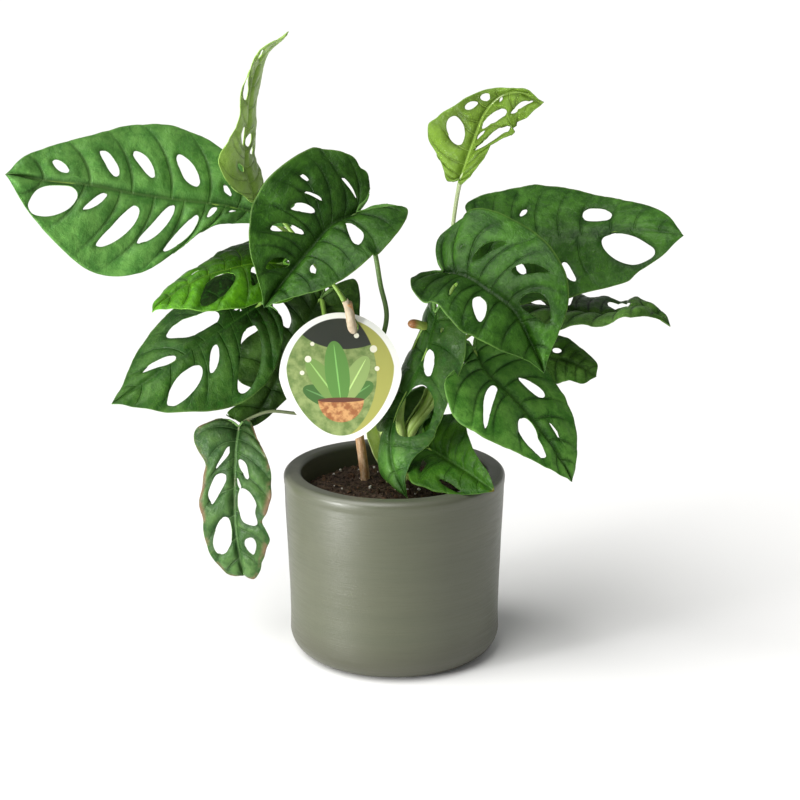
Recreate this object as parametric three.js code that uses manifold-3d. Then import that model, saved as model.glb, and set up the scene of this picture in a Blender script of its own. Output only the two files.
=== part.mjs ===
// A young monstera adansonii standing in a ceramic pot, with a plant tag on one stem.
// Millimetres, +Z up, -Y is the front. The origin is the centre of the pot's flat base.
import * as THREE from 'three';
import { mergeVertices } from 'three/addons/utils/BufferGeometryUtils.js';
import Module from 'manifold-3d';

const wasm = await Module();
wasm.setup();

// ---- Pot and soil ----
const potHeight = 127;
const potRimRadius = 75;
const potWaistRadius = 72.5;
const potFootRadius = 53;
const potFootRound = 19;
const potBoreRadius = 63;
const potBoreFootRadius = 56;
const potFloor = 14;
const rimRound = 4;
const potSegments = 56;
const soilLevel = 112;
const soilBump = 1.6;
const soilSegments = 40;
const seatGap = 0.3;

// ---- Stems: centre line, radius at the foot and at the top ----
const stemSides = 8;
const leftVine = {
  path: [[-20, 19, 101], [-20, 18, 112], [-22, 14, 132], [-24, 10, 149], [-26, 4, 173],
    [-26, -1, 199], [-27, -8, 224], [-30, -15, 244]],
  foot: 3.3, top: 2.7, steps: 22,
};
const rightVine = {
  path: [[14, 16, 100], [11, 12, 121], [7, 8, 140], [12, 5, 155], [23, 3, 172], [29, 0, 195],
    [30, -1, 216], [28, 0, 234]],
  foot: 3.6, top: 2.8, steps: 22,
};
const budPath = [[28, 0, 230], [21, -4, 227], [14, -8, 230], [9, -9, 231]];
const budRadius = 3;

// The pale folded sheath beside the left vine: a tapered trough open to the front.
const sheathPath = [[3, 15, 101], [0, 14, 117], [-6, 11, 132], [-12, 10, 151], [-16, 7.5, 162]];
const sheathWidth = 10;
const sheathWall = 1.4;

// ---- Plant tag: an oval card threaded on the left vine ----
const tagWidth = 80;
const tagHeight = 85;
const tagThickness = 1;
const tagCentre = [-35, -22, 196];
const tagLean = -22;
const tagTurn = 4;
const tagSlotClearance = 0.4;

// ---- Leaves ----
// stations: where along the midrib the half widths are given, as parts of its length.
const stations = [0.06, 0.25, 0.48, 0.72, 0.9];
const sinusHalfGap = 0.8;
const bladeEdge = 0.8;
const bladeRib = 2;
const rows = 4;
const ribSteps = 120;
const veinStart = 0.14;
const veinSweep = 1.3;
const veinBow = 0.1;
const holeSquareness = 2.3;

// Each leaf: petiole from its stem to the blade, rib from the blade's foot to its tip, face: where
// the upper side looks, twist along the rib. Each half: [lobe behind the foot, half widths at the
// stations], fold up from the rib, curl down to the edge (degrees). wave: [height, count, phase].
// A hole is [place along the edge of its inner end, of its outer end, inner end and outer end from
// rib to edge, width in mm].
const leaves = [
  {
    name: 'leaf_far_left', color: 0x2f7a2c, vine: leftVine, height: 204, radius: 1.8,
    petiole: [[-24, 20, 212], [-25, 42, 221], [-38, 53, 232], [-52, 50, 254], [-68, 43, 276],
      [-88, 30, 295]],
    rib: [[-88, 30, 295], [-113, 24, 302], [-141, 14, 307], [-170, 4, 313], [-197, -6, 320],
      [-223, -14, 324], [-246, -22, 329]],
    face: [0.37, -0.79, 0.49], twist: -4, wave: [1.5, 2.5, 0.1],
    left: { widths: [21, 10, 21, 54, 52, 24], fold: 4, curl: 14, holes: [
      [0.28, 0.31, 0.07, 0.3, 3], [0.37, 0.4, 0.06, 0.34, 5], [0.45, 0.53, 0.26, 0.71, 8],
      [0.53, 0.61, 0.09, 0.57, 9], [0.64, 0.69, 0.14, 0.72, 11], [0.73, 0.79, 0.08, 0.4, 6],
      [0.82, 0.91, 0.12, 0.92, 28]] },
    right: { widths: [21, 26, 50, 52, 33, 16], fold: 4, curl: 20, holes: [
      [0.33, 0.37, 0.14, 0.3, 4], [0.45, 0.51, 0.17, 0.56, 10], [0.6, 0.64, 0.21, 0.61, 7],
      [0.71, 0.74, 0.18, 0.68, 7], [0.87, 0.84, 0.17, 0.56, 7]] },
  },
  {
    name: 'leaf_young_upright', color: 0x6b9a35, vine: leftVine, height: 240, radius: 1.5,
    petiole: [[-37, -12, 252], [-54, 0, 272], [-70, 8, 290], [-81, 11, 303], [-91, 12, 308]],
    rib: [[-91, 12, 308], [-96, 9, 330], [-94, 8, 356], [-91, 6, 379], [-84, 2, 399], [-66, -6, 415]],
    face: [0.75, -0.61, -0.28], twist: 7, wave: [1, 3, 0],
    left: { widths: [15, 12, 30, 16, 16, 12], fold: 24, curl: 30, holes: [
      [0.48, 0.56, 0.1, 0.5, 4], [0.68, 0.77, 0.31, 0.8, 3]] },
    right: { widths: [14, 22, 27, 22, 18, 9], fold: -15, curl: 30, holes: [] },
  },
  {
    name: 'leaf_centre_left', color: 0x2a6b28, vine: leftVine, height: 176, radius: 1.85,
    petiole: [[-14, 6, 200], [-5, 6, 229], [-9, 4, 252], [-14, 2, 279], [-24, -8, 302]],
    rib: [[-24, -8, 302], [-40, -18, 296], [-51, -27, 285], [-64, -40, 271], [-72, -48, 262],
      [-81, -60, 251]],
    face: [0.11, -0.75, 0.65], twist: -3, wave: [1.5, 2.5, 0.4],
    left: { widths: [27, 40, 41, 37, 27, 11], fold: 32, curl: 25, holes: [
      [0.35, 0.49, 0.14, 0.76, 11], [0.74, 0.76, 0.34, 0.67, 5]] },
    right: { widths: [20, 51, 50, 46, 32, 11], fold: 30, curl: 25, holes: [
      [0.24, 0.33, 0.31, 0.56, 3], [0.42, 0.48, 0.25, 0.58, 2.5], [0.52, 0.58, 0.25, 0.58, 7],
      [0.62, 0.7, 0.18, 0.69, 7], [0.76, 0.84, 0.09, 0.62, 5]] },
  },
  {
    name: 'leaf_mid_left', color: 0x3f9a26, vine: leftVine, height: 193, radius: 1.6,
    petiole: [[-25, 22, 202], [-26, 43, 211], [-40, 52, 221], [-50, 50, 240], [-64, 34, 259],
      [-73, 8, 266]],
    rib: [[-73, 8, 266], [-87, 2, 268], [-106, -6, 266], [-126, -14, 261], [-143, -22, 252],
      [-156, -30, 242]],
    face: [0.02, -0.56, 0.83], twist: 29, wave: [1.2, 2, 0.2],
    left: { widths: [12, 32, 31, 35, 29, 13], fold: -10, curl: 20, holes: [
      [0.45, 0.47, 0.17, 0.61, 6], [0.59, 0.73, 0.2, 0.87, 16]] },
    right: { widths: [12, 47, 45, 27, 21, 10], fold: -10, curl: 25, holes: [
      [0.71, 0.77, 0.44, 0.62, 3]] },
  },
  {
    name: 'leaf_low_left', color: 0x2c6a2a, vine: leftVine, height: 184, radius: 1.8,
    petiole: [[-27, 22, 191], [-30, 44, 201], [-48, 52, 217], [-68, 50, 243], [-84, 38, 252],
      [-91, 26, 246], [-89, 18, 237]],
    rib: [[-89, 18, 237], [-113, 13, 222], [-129, 8, 212], [-153, 0, 197], [-165, -5, 189],
      [-187, -14, 176]],
    face: [-0.07, -0.83, 0.55], twist: 7, wave: [1.5, 2.5, 0.6],
    left: { widths: [6, 35, 49, 47, 33, 12], fold: -4, curl: 22, holes: [
      [0.29, 0.5, 0.28, 0.84, 13], [0.53, 0.59, 0.15, 0.45, 7], [0.66, 0.76, 0.34, 0.71, 16]] },
    right: { widths: [7, 37, 50, 43, 27, 8], fold: -14, curl: 22, holes: [
      [0.32, 0.36, 0.08, 0.2, 2.5], [0.44, 0.63, 0.22, 0.7, 12], [0.69, 0.83, 0.05, 0.45, 5]] },
  },
  {
    name: 'leaf_behind_left', color: 0x357a2c, vine: leftVine, height: 171, radius: 1.8,
    petiole: [[-37, 11, 190], [-45, 23, 214], [-50, 34, 237]],
    rib: [[-50, 34, 237], [-60, 33, 218], [-72, 32, 197], [-84, 29, 173], [-98, 24, 148]],
    face: [0.06, -1, 0.08], twist: -10, wave: [1, 2, 0.3],
    left: { widths: [9, 24, 28, 22, 12, 6], fold: 3, curl: 15, holes: [] },
    right: { widths: [8, 32, 33, 32, 25, 10], fold: 3, curl: 15, holes: [
      [0.45, 0.36, 0.31, 0.76, 10]] },
  },
  {
    name: 'leaf_hanging_left', color: 0x3a7f30, vine: leftVine, height: 160, radius: 1.7,
    petiole: [[-50, 8, 161], [-67, 4, 164], [-86, 0, 166], [-104, -4, 157]],
    rib: [[-104, -4, 157], [-106, -10, 142], [-107, -16, 116], [-107, -18, 96], [-105, -18, 74],
      [-103, -12, 53]],
    face: [-0.07, -0.99, 0.08], twist: 6, wave: [2, 2.5, 0.75],
    left: { widths: [5, 15, 26, 25, 22, 16], fold: 26, curl: 25, holes: [
      [0.41, 0.48, 0.11, 0.31, 7], [0.57, 0.65, 0.16, 0.62, 13], [0.84, 0.75, 0.32, 0.68, 10]] },
    right: { widths: [4, 28, 22, 23, 23, 16], fold: 5, curl: 25, holes: [
      [0.33, 0.42, 0.15, 0.61, 4], [0.49, 0.57, 0.22, 0.61, 10], [0.72, 0.82, 0.17, 0.9, 11]] },
  },
  {
    name: 'leaf_young_top', color: 0x6aa634, vine: rightVine, height: 230, radius: 1.5,
    petiole: [[34, 8, 248], [38, 13, 274], [39, 15, 291], [43, 16, 320]],
    rib: [[43, 16, 320], [51, 18, 343], [59, 18, 363], [69, 14, 374], [81, 6, 377], [95, -2, 371]],
    face: [-0.52, -0.82, 0.23], twist: 41, wave: [1, 2.5, 0.2],
    left: { widths: [6, 16, 34, 17, 4, 2], fold: 9, curl: 20, holes: [
      [0.41, 0.51, 0.27, 0.73, 11], [0.62, 0.59, 0.5, 0.75, 5], [0.69, 0.68, 0.25, 0.72, 5]] },
    right: { widths: [7, 11, 17, 26, 23, 17], fold: 31, curl: 20, holes: [
      [0.38, 0.46, 0.12, 0.35, 3], [0.5, 0.6, 0.1, 0.8, 5], [0.62, 0.78, 0.08, 0.5, 8],
      [0.84, 0.88, 0.3, 0.8, 5]] },
  },
  {
    name: 'leaf_far_right', color: 0x2c6a2a, vine: rightVine, height: 224, radius: 1.8,
    petiole: [[36, 20, 238], [48, 34, 262], [61, 30, 284]],
    rib: [[61, 30, 284], [84, 28, 281], [106, 26, 281], [131, 22, 283], [160, 14, 288], [189, 2, 286]],
    face: [-0.18, -0.78, 0.6], twist: -2, wave: [1.5, 2, 0.5],
    left: { widths: [16, 42, 51, 43, 26, 13], fold: -15, curl: 10, holes: [
      [0.4, 0.44, 0.3, 0.5, 5], [0.72, 0.64, 0.33, 0.68, 15]] },
    right: { widths: [16, 41, 49, 39, 34, 19], fold: -16, curl: 20, holes: [
      [0.53, 0.56, 0.43, 0.76, 7], [0.75, 0.86, 0.06, 0.82, 28]] },
  },
  {
    name: 'leaf_front_right', color: 0x2e7c2c, vine: rightVine, height: 213, radius: 1.9,
    petiole: [[41, -5, 233], [43, -10, 253], [32, -12, 264]],
    rib: [[32, -12, 264], [45, -20, 263], [61, -32, 255], [76, -43, 245], [87, -52, 226],
      [95, -58, 208]],
    face: [0.1, -0.71, 0.7], twist: 9, wave: [1.5, 2.5, 0],
    left: { widths: [11, 44, 50, 46, 29, 9], fold: 29, curl: 25, holes: [
      [0.38, 0.45, 0.23, 0.65, 6], [0.57, 0.64, 0.37, 0.83, 6], [0.7, 0.77, 0.14, 0.68, 17]] },
    right: { widths: [13, 39, 39, 44, 32, 9], fold: 31, curl: 25, holes: [
      [0.41, 0.45, 0.32, 0.67, 3], [0.55, 0.63, 0.29, 0.71, 12]] },
  },
  {
    name: 'leaf_low_right', color: 0x2f7a2c, vine: rightVine, height: 202, radius: 1.8,
    petiole: [[37, 2, 210], [45, 0, 213], [53, -4, 210]],
    rib: [[53, -4, 210], [62, -10, 196], [80, -20, 180], [95, -30, 164], [106, -38, 149],
      [116, -46, 132]],
    face: [0.18, -0.8, 0.57], twist: 3, wave: [1.5, 2.5, 0.8],
    left: { widths: [11, 25, 43, 36, 25, 10], fold: -13, curl: 15, holes: [
      [0.5, 0.62, 0.36, 0.59, 8], [0.75, 0.8, 0.27, 0.38, 3]] },
    right: { widths: [10, 18, 53, 50, 32, 13], fold: 36, curl: 20, holes: [
      [0.48, 0.59, 0.2, 0.75, 7], [0.68, 0.83, 0.11, 0.68, 12]] },
  },
  {
    name: 'leaf_narrow_right', color: 0x275f27, vine: rightVine, height: 195, radius: 1.6,
    petiole: [[51, 26, 213], [79, 34, 223], [107, 30, 231]],
    rib: [[107, 30, 231], [125, 24, 229], [145, 18, 229], [164, 10, 236], [183, 0, 226]],
    face: [-0.02, -0.21, 0.98], twist: -9, wave: [2, 3, 0.1],
    left: { widths: [10, 22, 33, 27, 14, 6], fold: 10, curl: 20, holes: [
      [0.6, 0.62, 0.3, 0.6, 7]] },
    right: { widths: [10, 25, 24, 22, 23, 7], fold: 14, curl: 40, holes: [] },
  },
  {
    name: 'leaf_small_right', color: 0x275f27, vine: rightVine, height: 187, radius: 1.5,
    petiole: [[48, 18, 199], [69, 27, 204], [89, 30, 200]],
    rib: [[89, 30, 200], [106, 26, 198], [122, 21, 195], [137, 16, 187]],
    face: [0.04, -0.6, 0.8], twist: 2, wave: [1.5, 2, 0.4],
    left: { widths: [6, 17, 21, 19, 12, 6], fold: 5, curl: 20, holes: [
      [0.52, 0.6, 0.25, 0.52, 4]] },
    right: { widths: [6, 17, 22, 19, 12, 7], fold: -2, curl: 40, holes: [] },
  },
  {
    name: 'leaf_centre_right', color: 0x2f7a2c, vine: rightVine, height: 141, radius: 1.8,
    petiole: [[3, 0, 160], [7, -2, 189], [18, -4, 220], [27, -8, 236]],
    rib: [[27, -8, 236], [20, -13, 212], [8, -18, 187], [-2, -24, 164], [-2, -31, 142], [8, -44, 120]],
    face: [-0.61, -0.72, 0.32], twist: -15, wave: [1, 2.5, 0.3],
    left: { widths: [15, 29, 32, 34, 30, 6], fold: 6, curl: 12, holes: [
      [0.36, 0.44, 0.08, 0.36, 8], [0.68, 0.6, 0.05, 0.8, 34]] },
    right: { widths: [15, 29, 29, 30, 28, 7], fold: -17, curl: 50, holes: [] },
  },
  {
    name: 'leaf_over_rim', color: 0x327f2c, vine: rightVine, height: 132, radius: 1.8,
    petiole: [[14, -2, 140], [23, -9, 144]],
    rib: [[23, -9, 144], [32, -21, 142], [39, -30, 140], [50, -43, 136.5], [64, -57, 129.5]],
    face: [-0.08, -0.36, 0.93], twist: 36, wave: [1, 2, 0],
    left: { widths: [19, 33, 25, 17, 10, 6], fold: 31, curl: 15, holes: [] },
    right: { widths: [12, 28, 29, 26, 18, 9], fold: 19, curl: 6, holes: [
      [0.39, 0.45, 0.27, 0.52, 4], [0.52, 0.72, 0.15, 0.62, 10]] },
  },
];

const radians = THREE.MathUtils.degToRad;
const vector = (a) => new THREE.Vector3(a[0], a[1], a[2]);
const curveThrough = (points) => new THREE.CatmullRomCurve3(points.map(vector));

// ---- Solids ----
function toManifold(geometry) {
  const bare = geometry.clone();
  bare.deleteAttribute('normal');
  bare.deleteAttribute('uv');
  const merged = mergeVertices(bare, 1e-4);
  return new wasm.Manifold(new wasm.Mesh({
    numProp: 3,
    vertProperties: new Float32Array(merged.attributes.position.array),
    triVerts: new Uint32Array(merged.index.array),
  }));
}

function toGeometry(solid) {
  const mesh = solid.getMesh();
  const geometry = new THREE.BufferGeometry();
  geometry.setAttribute('position', new THREE.BufferAttribute(mesh.vertProperties, 3));
  geometry.setIndex(new THREE.BufferAttribute(mesh.triVerts, 1));
  geometry.computeVertexNormals();
  return geometry;
}

// A round bar along a curve, with its radius going from foot to top.
function bar(points, foot, top, steps, sides = stemSides) {
  const curve = curveThrough(points);
  const ring = [];
  for (let i = 0; i < sides; i += 1) {
    const angle = (2 * Math.PI * i) / sides;
    ring.push(new THREE.Vector2(foot * Math.cos(angle), foot * Math.sin(angle)));
  }
  const geometry = new THREE.ExtrudeGeometry(new THREE.Shape(ring), {
    extrudePath: curve, steps, bevelEnabled: false,
  });
  const centres = curve.getSpacedPoints(steps);
  const position = geometry.attributes.position;
  const point = new THREE.Vector3();
  for (let i = 0; i < position.count; i += 1) {
    point.fromBufferAttribute(position, i);
    let nearest = 0;
    centres.forEach((centre, k) => {
      if (centre.distanceTo(point) < centres[nearest].distanceTo(point)) nearest = k;
    });
    const scale = THREE.MathUtils.lerp(foot, top, nearest / steps) / foot;
    point.sub(centres[nearest]).multiplyScalar(scale).add(centres[nearest]);
    position.setXYZ(i, point.x, point.y, point.z);
  }
  return toManifold(geometry);
}

// The same bar, larger all round by a gap, to cut room for it out of its neighbours.
function room(points, foot, top, steps, gap) {
  const first = vector(points[0]);
  const second = vector(points[1]);
  const last = vector(points[points.length - 1]);
  const beforeLast = vector(points[points.length - 2]);
  const start = first.clone().add(first.clone().sub(second).setLength(gap));
  const end = last.clone().add(last.clone().sub(beforeLast).setLength(gap));
  const longer = [start.toArray(), ...points.slice(1, -1), end.toArray()];
  return bar(longer, foot + gap * 1.1, top + gap * 1.1, steps);
}

// ---- Leaf surface ----
function marginCurve(half, length) {
  const [lobe, ...widths] = half.widths;
  const points = [[sinusHalfGap, 0, 0], [0.45 * widths[0], -lobe, 0]];
  widths.forEach((width, i) => points.push([width, stations[i] * length, 0]));
  points.push([0, length, 0]);
  return curveThrough(points);
}

class Blade {
  constructor(leaf) {
    this.leaf = leaf;
    this.rib = curveThrough(leaf.rib);
    this.length = this.rib.getLength();
    this.margins = [marginCurve(leaf.left, this.length), marginCurve(leaf.right, this.length)];
    this.halves = [leaf.left, leaf.right];
  }

  // Frame on the rib: point, direction to the tip, upper side, direction to the right half.
  frame(y) {
    const along = THREE.MathUtils.clamp(y / this.length, 0, 1);
    const point = this.rib.getPointAt(along);
    const tangent = this.rib.getTangentAt(along);
    point.addScaledVector(tangent, Math.min(y, 0));
    const up = vector(this.leaf.face);
    up.addScaledVector(tangent, -up.dot(tangent)).normalize();
    const across = tangent.clone().cross(up);
    const turn = radians(this.leaf.twist) * along;
    const normal = up.clone().multiplyScalar(Math.cos(turn)).addScaledVector(across, Math.sin(turn));
    across.multiplyScalar(Math.cos(turn)).addScaledVector(up, -Math.sin(turn));
    return { point, tangent, normal, across };
  }

  // From the flat leaf (x from the rib, y along it) to its bent shape.
  place(side, x, y) {
    const half = this.halves[side];
    const { point, normal, across } = this.frame(y);
    const widest = Math.max(...half.widths.slice(1));
    const fold = radians(half.fold);
    const bend = radians(half.curl) / widest;
    const out = (Math.sin(fold) - Math.sin(fold - bend * x)) / bend;
    let rise = (Math.cos(fold - bend * x) - Math.cos(fold)) / bend;
    const [height, count, phase] = this.leaf.wave;
    const turn = (count * y) / this.length + phase + 0.3 * side;
    rise += height * Math.sin(2 * Math.PI * turn) * (x / widest) ** 2;
    point.addScaledVector(across, side === 0 ? -out : out);
    return point.addScaledVector(normal, rise);
  }

  // p runs along the edge from foot to tip, q from the rib to the edge along a side vein.
  flat(side, p, q) {
    const edge = this.margins[side].getPointAt(THREE.MathUtils.clamp(p, 0, 1));
    const start = this.length * Math.max((p - veinStart) / (1 - veinStart), 0) ** veinSweep;
    const dx = edge.x;
    const dy = edge.y - start;
    const bow = veinBow * 4 * q * (1 - q);
    return [Math.max(dx * q + dy * bow, 0), start + dy * q - dx * bow];
  }

  // Upper and lower point of the blade, which thins from the rib to the edge and the tip.
  points(side, p, q) {
    const [x, y] = this.flat(side, p, q);
    const upper = this.place(side, x, y);
    const step = 0.5;
    const ribNormal = this.frame(y).normal;
    const alongX = this.place(side, x + step, y).sub(upper);
    const alongY = this.place(side, x, y + step).sub(this.place(side, x, y - step));
    const normal = side === 0 ? alongY.cross(alongX) : alongX.cross(alongY);
    normal.normalize().lerp(ribNormal, THREE.MathUtils.clamp(1 - x / 4, 0, 1)).normalize();
    const ribShare = Math.max(1 - x / 5, 0) * (1 - y / this.length);
    const depth = bladeEdge + (bladeRib - bladeEdge) * THREE.MathUtils.clamp(ribShare, 0, 1);
    return [upper, upper.clone().addScaledVector(normal, -depth)];
  }
}

// The lines of constant p, possibly bent, between which the columns of a half blade lie.
function columns(blade, side) {
  const holes = blade.halves[side].holes.map(([inner, outer, q0, q1, width]) => {
    const axis = (q) => THREE.MathUtils.lerp(
      inner, outer, THREE.MathUtils.clamp((q - q0) / (q1 - q0), 0, 1));
    const middle = (q0 + q1) / 2;
    const step = 0.01;
    const centre = blade.points(side, axis(middle), middle)[0];
    const along = blade.points(side, axis(middle) + step, middle)[0].sub(centre);
    const outward = blade.points(side, axis(middle + step), middle + step)[0].sub(centre).normalize();
    const halfWidth = ((width / 2) * step) / along.cross(outward).length();
    return { axis, q0, q1, halfWidth };
  });
  const lines = [{ at: () => 0, hole: null }];
  holes.forEach((hole, i) => {
    const reach = 1.7 * hole.halfWidth + 0.008;
    const before = holes[i - 1];
    const split = (q) => {
      const share = before.halfWidth / (before.halfWidth + hole.halfWidth);
      return THREE.MathUtils.lerp(before.axis(q), hole.axis(q), share);
    };
    const lower = (q) => Math.max(hole.axis(q) - reach, 0.015);
    if (before && hole.axis(0.5) - before.axis(0.5) < reach + 1.7 * before.halfWidth + 0.05) {
      lines[lines.length - 1].at = split;
      lines[lines.length - 1].hole = hole;
    } else {
      lines.push({ at: lower, hole });
    }
    lines.push({ at: (q) => Math.min(hole.axis(q) + reach, 0.985), hole: null });
  });
  lines.push({ at: () => 1, hole: null });
  return lines;
}

function bladeSolid(leaf) {
  const blade = new Blade(leaf);
  const quads = [];
  [0, 1].forEach((side) => {
    const snapped = ([p, q]) => (q === 0 ? [Math.round(p * ribSteps) / ribSteps, 0] : [p, q]);
    const quad = (...corners) => quads.push({ side, corners: corners.map(snapped) });
    const lines = columns(blade, side);
    for (let i = 0; i < lines.length - 1; i += 1) {
      const from = lines[i].at;
      const to = lines[i + 1].at;
      if (lines[i].hole) ringColumn(from, to, lines[i].hole, quad);
      else plainColumn(from, to, quad);
    }
  });
  // Both halves use every point that either of them has on the rib.
  const ribMarks = new Set();
  quads.forEach(({ corners }) => corners.forEach(([p, q]) => q === 0 && ribMarks.add(p)));
  const marks = [...ribMarks].sort((m, n) => m - n);
  const upper = [];
  const lower = [];
  quads.forEach(({ side, corners }) => {
    const outline = [];
    corners.forEach((start, k) => {
      const end = corners[(k + 1) % 4];
      outline.push(start);
      if (start[1] === 0 && end[1] === 0) {
        const between = marks.filter((m) => (m - start[0]) * (m - end[0]) < 0);
        if (start[0] > end[0]) between.reverse();
        between.forEach((m) => outline.push([m, 0]));
      }
    });
    const apex = outline.length > 4 ? outline.findIndex(([, q]) => q > 0) : 0;
    for (let i = 1; i < outline.length - 1; i += 1) {
      const next = [apex, apex + i, apex + i + 1].map((k) => outline[k % outline.length]);
      const order = side === 1 ? next : [next[0], next[2], next[1]];
      order.forEach(([p, q]) => {
        const [top, under] = blade.points(side, p, q);
        upper.push(top.x, top.y, top.z);
        lower.push(under.x, under.y, under.z);
      });
    }
  });
  return closeSheet(upper, lower);
}

function plainColumn(from, to, quad) {
  const parts = Math.max(Math.round((to(0.5) - from(0.5)) / 0.1), 1);
  const at = (i, q) => [THREE.MathUtils.lerp(from(q), to(q), i / parts), q];
  for (let i = 0; i < parts; i += 1) {
    for (let j = 0; j < rows; j += 1) {
      const q0 = j / rows;
      const q1 = (j + 1) / rows;
      quad(at(i, q0), at(i, q1), at(i + 1, q1), at(i + 1, q0));
    }
  }
}

// A column with a hole: a ring of quads between the column's outline and a rounded opening.
function ringColumn(from, to, hole, quad) {
  const outline = [];
  for (let j = 0; j < rows; j += 1) outline.push([-1, -1 + (2 * j) / rows]);
  outline.push([-1, 1], [0, 1]);
  for (let j = rows; j > 0; j -= 1) outline.push([1, -1 + (2 * j) / rows]);
  outline.push([1, -1], [0, -1]);
  const rim = ([u, v]) => {
    const q = (v + 1) / 2;
    return [THREE.MathUtils.lerp(from(q), to(q), (u + 1) / 2), q];
  };
  const opening = ([u, v]) => {
    const size = (Math.abs(u) ** holeSquareness + Math.abs(v) ** holeSquareness) ** (1 / holeSquareness);
    const q = (hole.q0 + hole.q1) / 2 + ((hole.q1 - hole.q0) / 2) * (v / size);
    const room = u < 0 ? hole.axis(q) - from(q) : to(q) - hole.axis(q);
    return [hole.axis(q) + Math.min(hole.halfWidth, 0.82 * room) * (u / size), q];
  };
  outline.forEach((here, i) => {
    const next = outline[(i + 1) % outline.length];
    quad(rim(here), rim(next), opening(next), opening(here));
  });
}

// Joins matching upper and lower triangles along their free edges into one closed solid.
function closeSheet(upper, lower) {
  const sheet = new THREE.BufferGeometry();
  sheet.setAttribute('position', new THREE.Float32BufferAttribute(upper, 3));
  sheet.setAttribute('under', new THREE.Float32BufferAttribute(lower, 3));
  const merged = mergeVertices(sheet, 1e-3);
  const count = merged.attributes.position.count;
  const index = Array.from(merged.index.array);
  const faces = [];
  const edges = new Set();
  for (let i = 0; i < index.length; i += 3) {
    const [a, b, c] = index.slice(i, i + 3);
    if (a !== b && b !== c && c !== a) {
      faces.push(a, b, c, c + count, b + count, a + count);
      [[a, b], [b, c], [c, a]].forEach(([s, e]) => edges.add(`${s} ${e}`));
    }
  }
  edges.forEach((edge) => {
    const [a, b] = edge.split(' ').map(Number);
    if (!edges.has(`${b} ${a}`)) faces.push(a, a + count, b + count, a, b + count, b);
  });
  const solid = new THREE.BufferGeometry();
  const position = [...merged.attributes.position.array, ...merged.attributes.under.array];
  solid.setAttribute('position', new THREE.Float32BufferAttribute(position, 3));
  solid.setIndex(faces);
  return toManifold(solid);
}

// ---- The model ----
const plant = new THREE.Group();

function addMesh(name, solid, color, roughness) {
  const material = new THREE.MeshStandardMaterial({ color, roughness, metalness: 0 });
  const mesh = new THREE.Mesh(toGeometry(solid), material);
  mesh.name = name;
  plant.add(mesh);
}

function latheSolid(profile, segments) {
  const points = profile.map(([r, z]) => new THREE.Vector2(r, z));
  const geometry = new THREE.LatheGeometry(points, segments);
  geometry.rotateX(Math.PI / 2);
  return toManifold(geometry);
}

function arc(centreR, centreZ, radius, fromDegrees, toDegrees, steps) {
  const points = [];
  for (let i = 0; i <= steps; i += 1) {
    const angle = radians(THREE.MathUtils.lerp(fromDegrees, toDegrees, i / steps));
    points.push([centreR + radius * Math.cos(angle), centreZ + radius * Math.sin(angle)]);
  }
  return points;
}

function potSolid() {
  const boreRound = rimRound - 1;
  return latheSolid([
    [0, 0],
    ...arc(potFootRadius, potFootRound, potFootRound, -90, -5, 5),
    [potWaistRadius, 42],
    ...arc(potRimRadius - rimRound, potHeight - rimRound, rimRound, 0, 90, 3),
    ...arc(potBoreRadius + boreRound, potHeight - boreRound, boreRound, 90, 180, 2),
    [potBoreFootRadius, potFloor],
    [0, potFloor],
  ], potSegments);
}

function soilSolid() {
  const wallAt = (z) => THREE.MathUtils.mapLinear(
    z, potFloor, potHeight - rimRound + 1, potBoreFootRadius, potBoreRadius) - seatGap - 0.15;
  const rings = [[wallAt(soilLevel), soilLevel - 2], [wallAt(soilLevel) - 6, soilLevel],
    [44, soilLevel], [30, soilLevel], [15, soilLevel + 1], [0, soilLevel + 1]];
  const floor = potFloor + seatGap;
  const profile = [[0, floor], [wallAt(floor), floor], ...rings];
  const points = profile.map(([r, z]) => new THREE.Vector2(r, z));
  const geometry = new THREE.LatheGeometry(points, soilSegments);
  geometry.rotateX(Math.PI / 2);
  const position = geometry.attributes.position;
  for (let i = 0; i < position.count; i += 1) {
    const x = position.getX(i);
    const y = position.getY(i);
    const z = position.getZ(i);
    if (z > soilLevel - 1) {
      const bump = Math.sin(x * 0.31 + 1) * Math.cos(y * 0.27) + 0.5 * Math.sin(x * 0.11 + y * 0.19);
      position.setZ(i, z + soilBump * bump * 0.6);
    }
  }
  return toManifold(geometry);
}

function sheathSolid(gap) {
  const wing = sheathWidth / 2 + gap;
  const wall = sheathWall + gap;
  const section = new THREE.Shape([
    new THREE.Vector2(-wing, wing), new THREE.Vector2(-wing + wall, wing),
    new THREE.Vector2(-wing * 0.35, wall), new THREE.Vector2(wing * 0.35, wall),
    new THREE.Vector2(wing - wall, wing), new THREE.Vector2(wing, wing),
    new THREE.Vector2(wing * 0.5, -wall), new THREE.Vector2(-wing * 0.5, -wall),
  ].reverse());
  const foot = [sheathPath[0][0], sheathPath[0][1], sheathPath[0][2] - gap];
  const curve = curveThrough([foot, ...sheathPath.slice(1)]);
  const steps = 12;
  const geometry = new THREE.ExtrudeGeometry(section, { extrudePath: curve, steps, bevelEnabled: false });
  return toManifold(geometry);
}

function tagSolid() {
  const outline = new THREE.Shape();
  outline.absellipse(0, 0, tagWidth / 2, tagHeight / 2, 0, 2 * Math.PI, false, 0);
  const geometry = new THREE.ExtrudeGeometry(outline, {
    depth: tagThickness, bevelEnabled: false, curveSegments: 24,
  });
  geometry.translate(0, 0, -tagThickness / 2);
  geometry.rotateX(Math.PI / 2 + radians(tagLean));
  geometry.rotateZ(radians(tagTurn));
  geometry.translate(...tagCentre);
  return toManifold(geometry);
}

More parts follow.
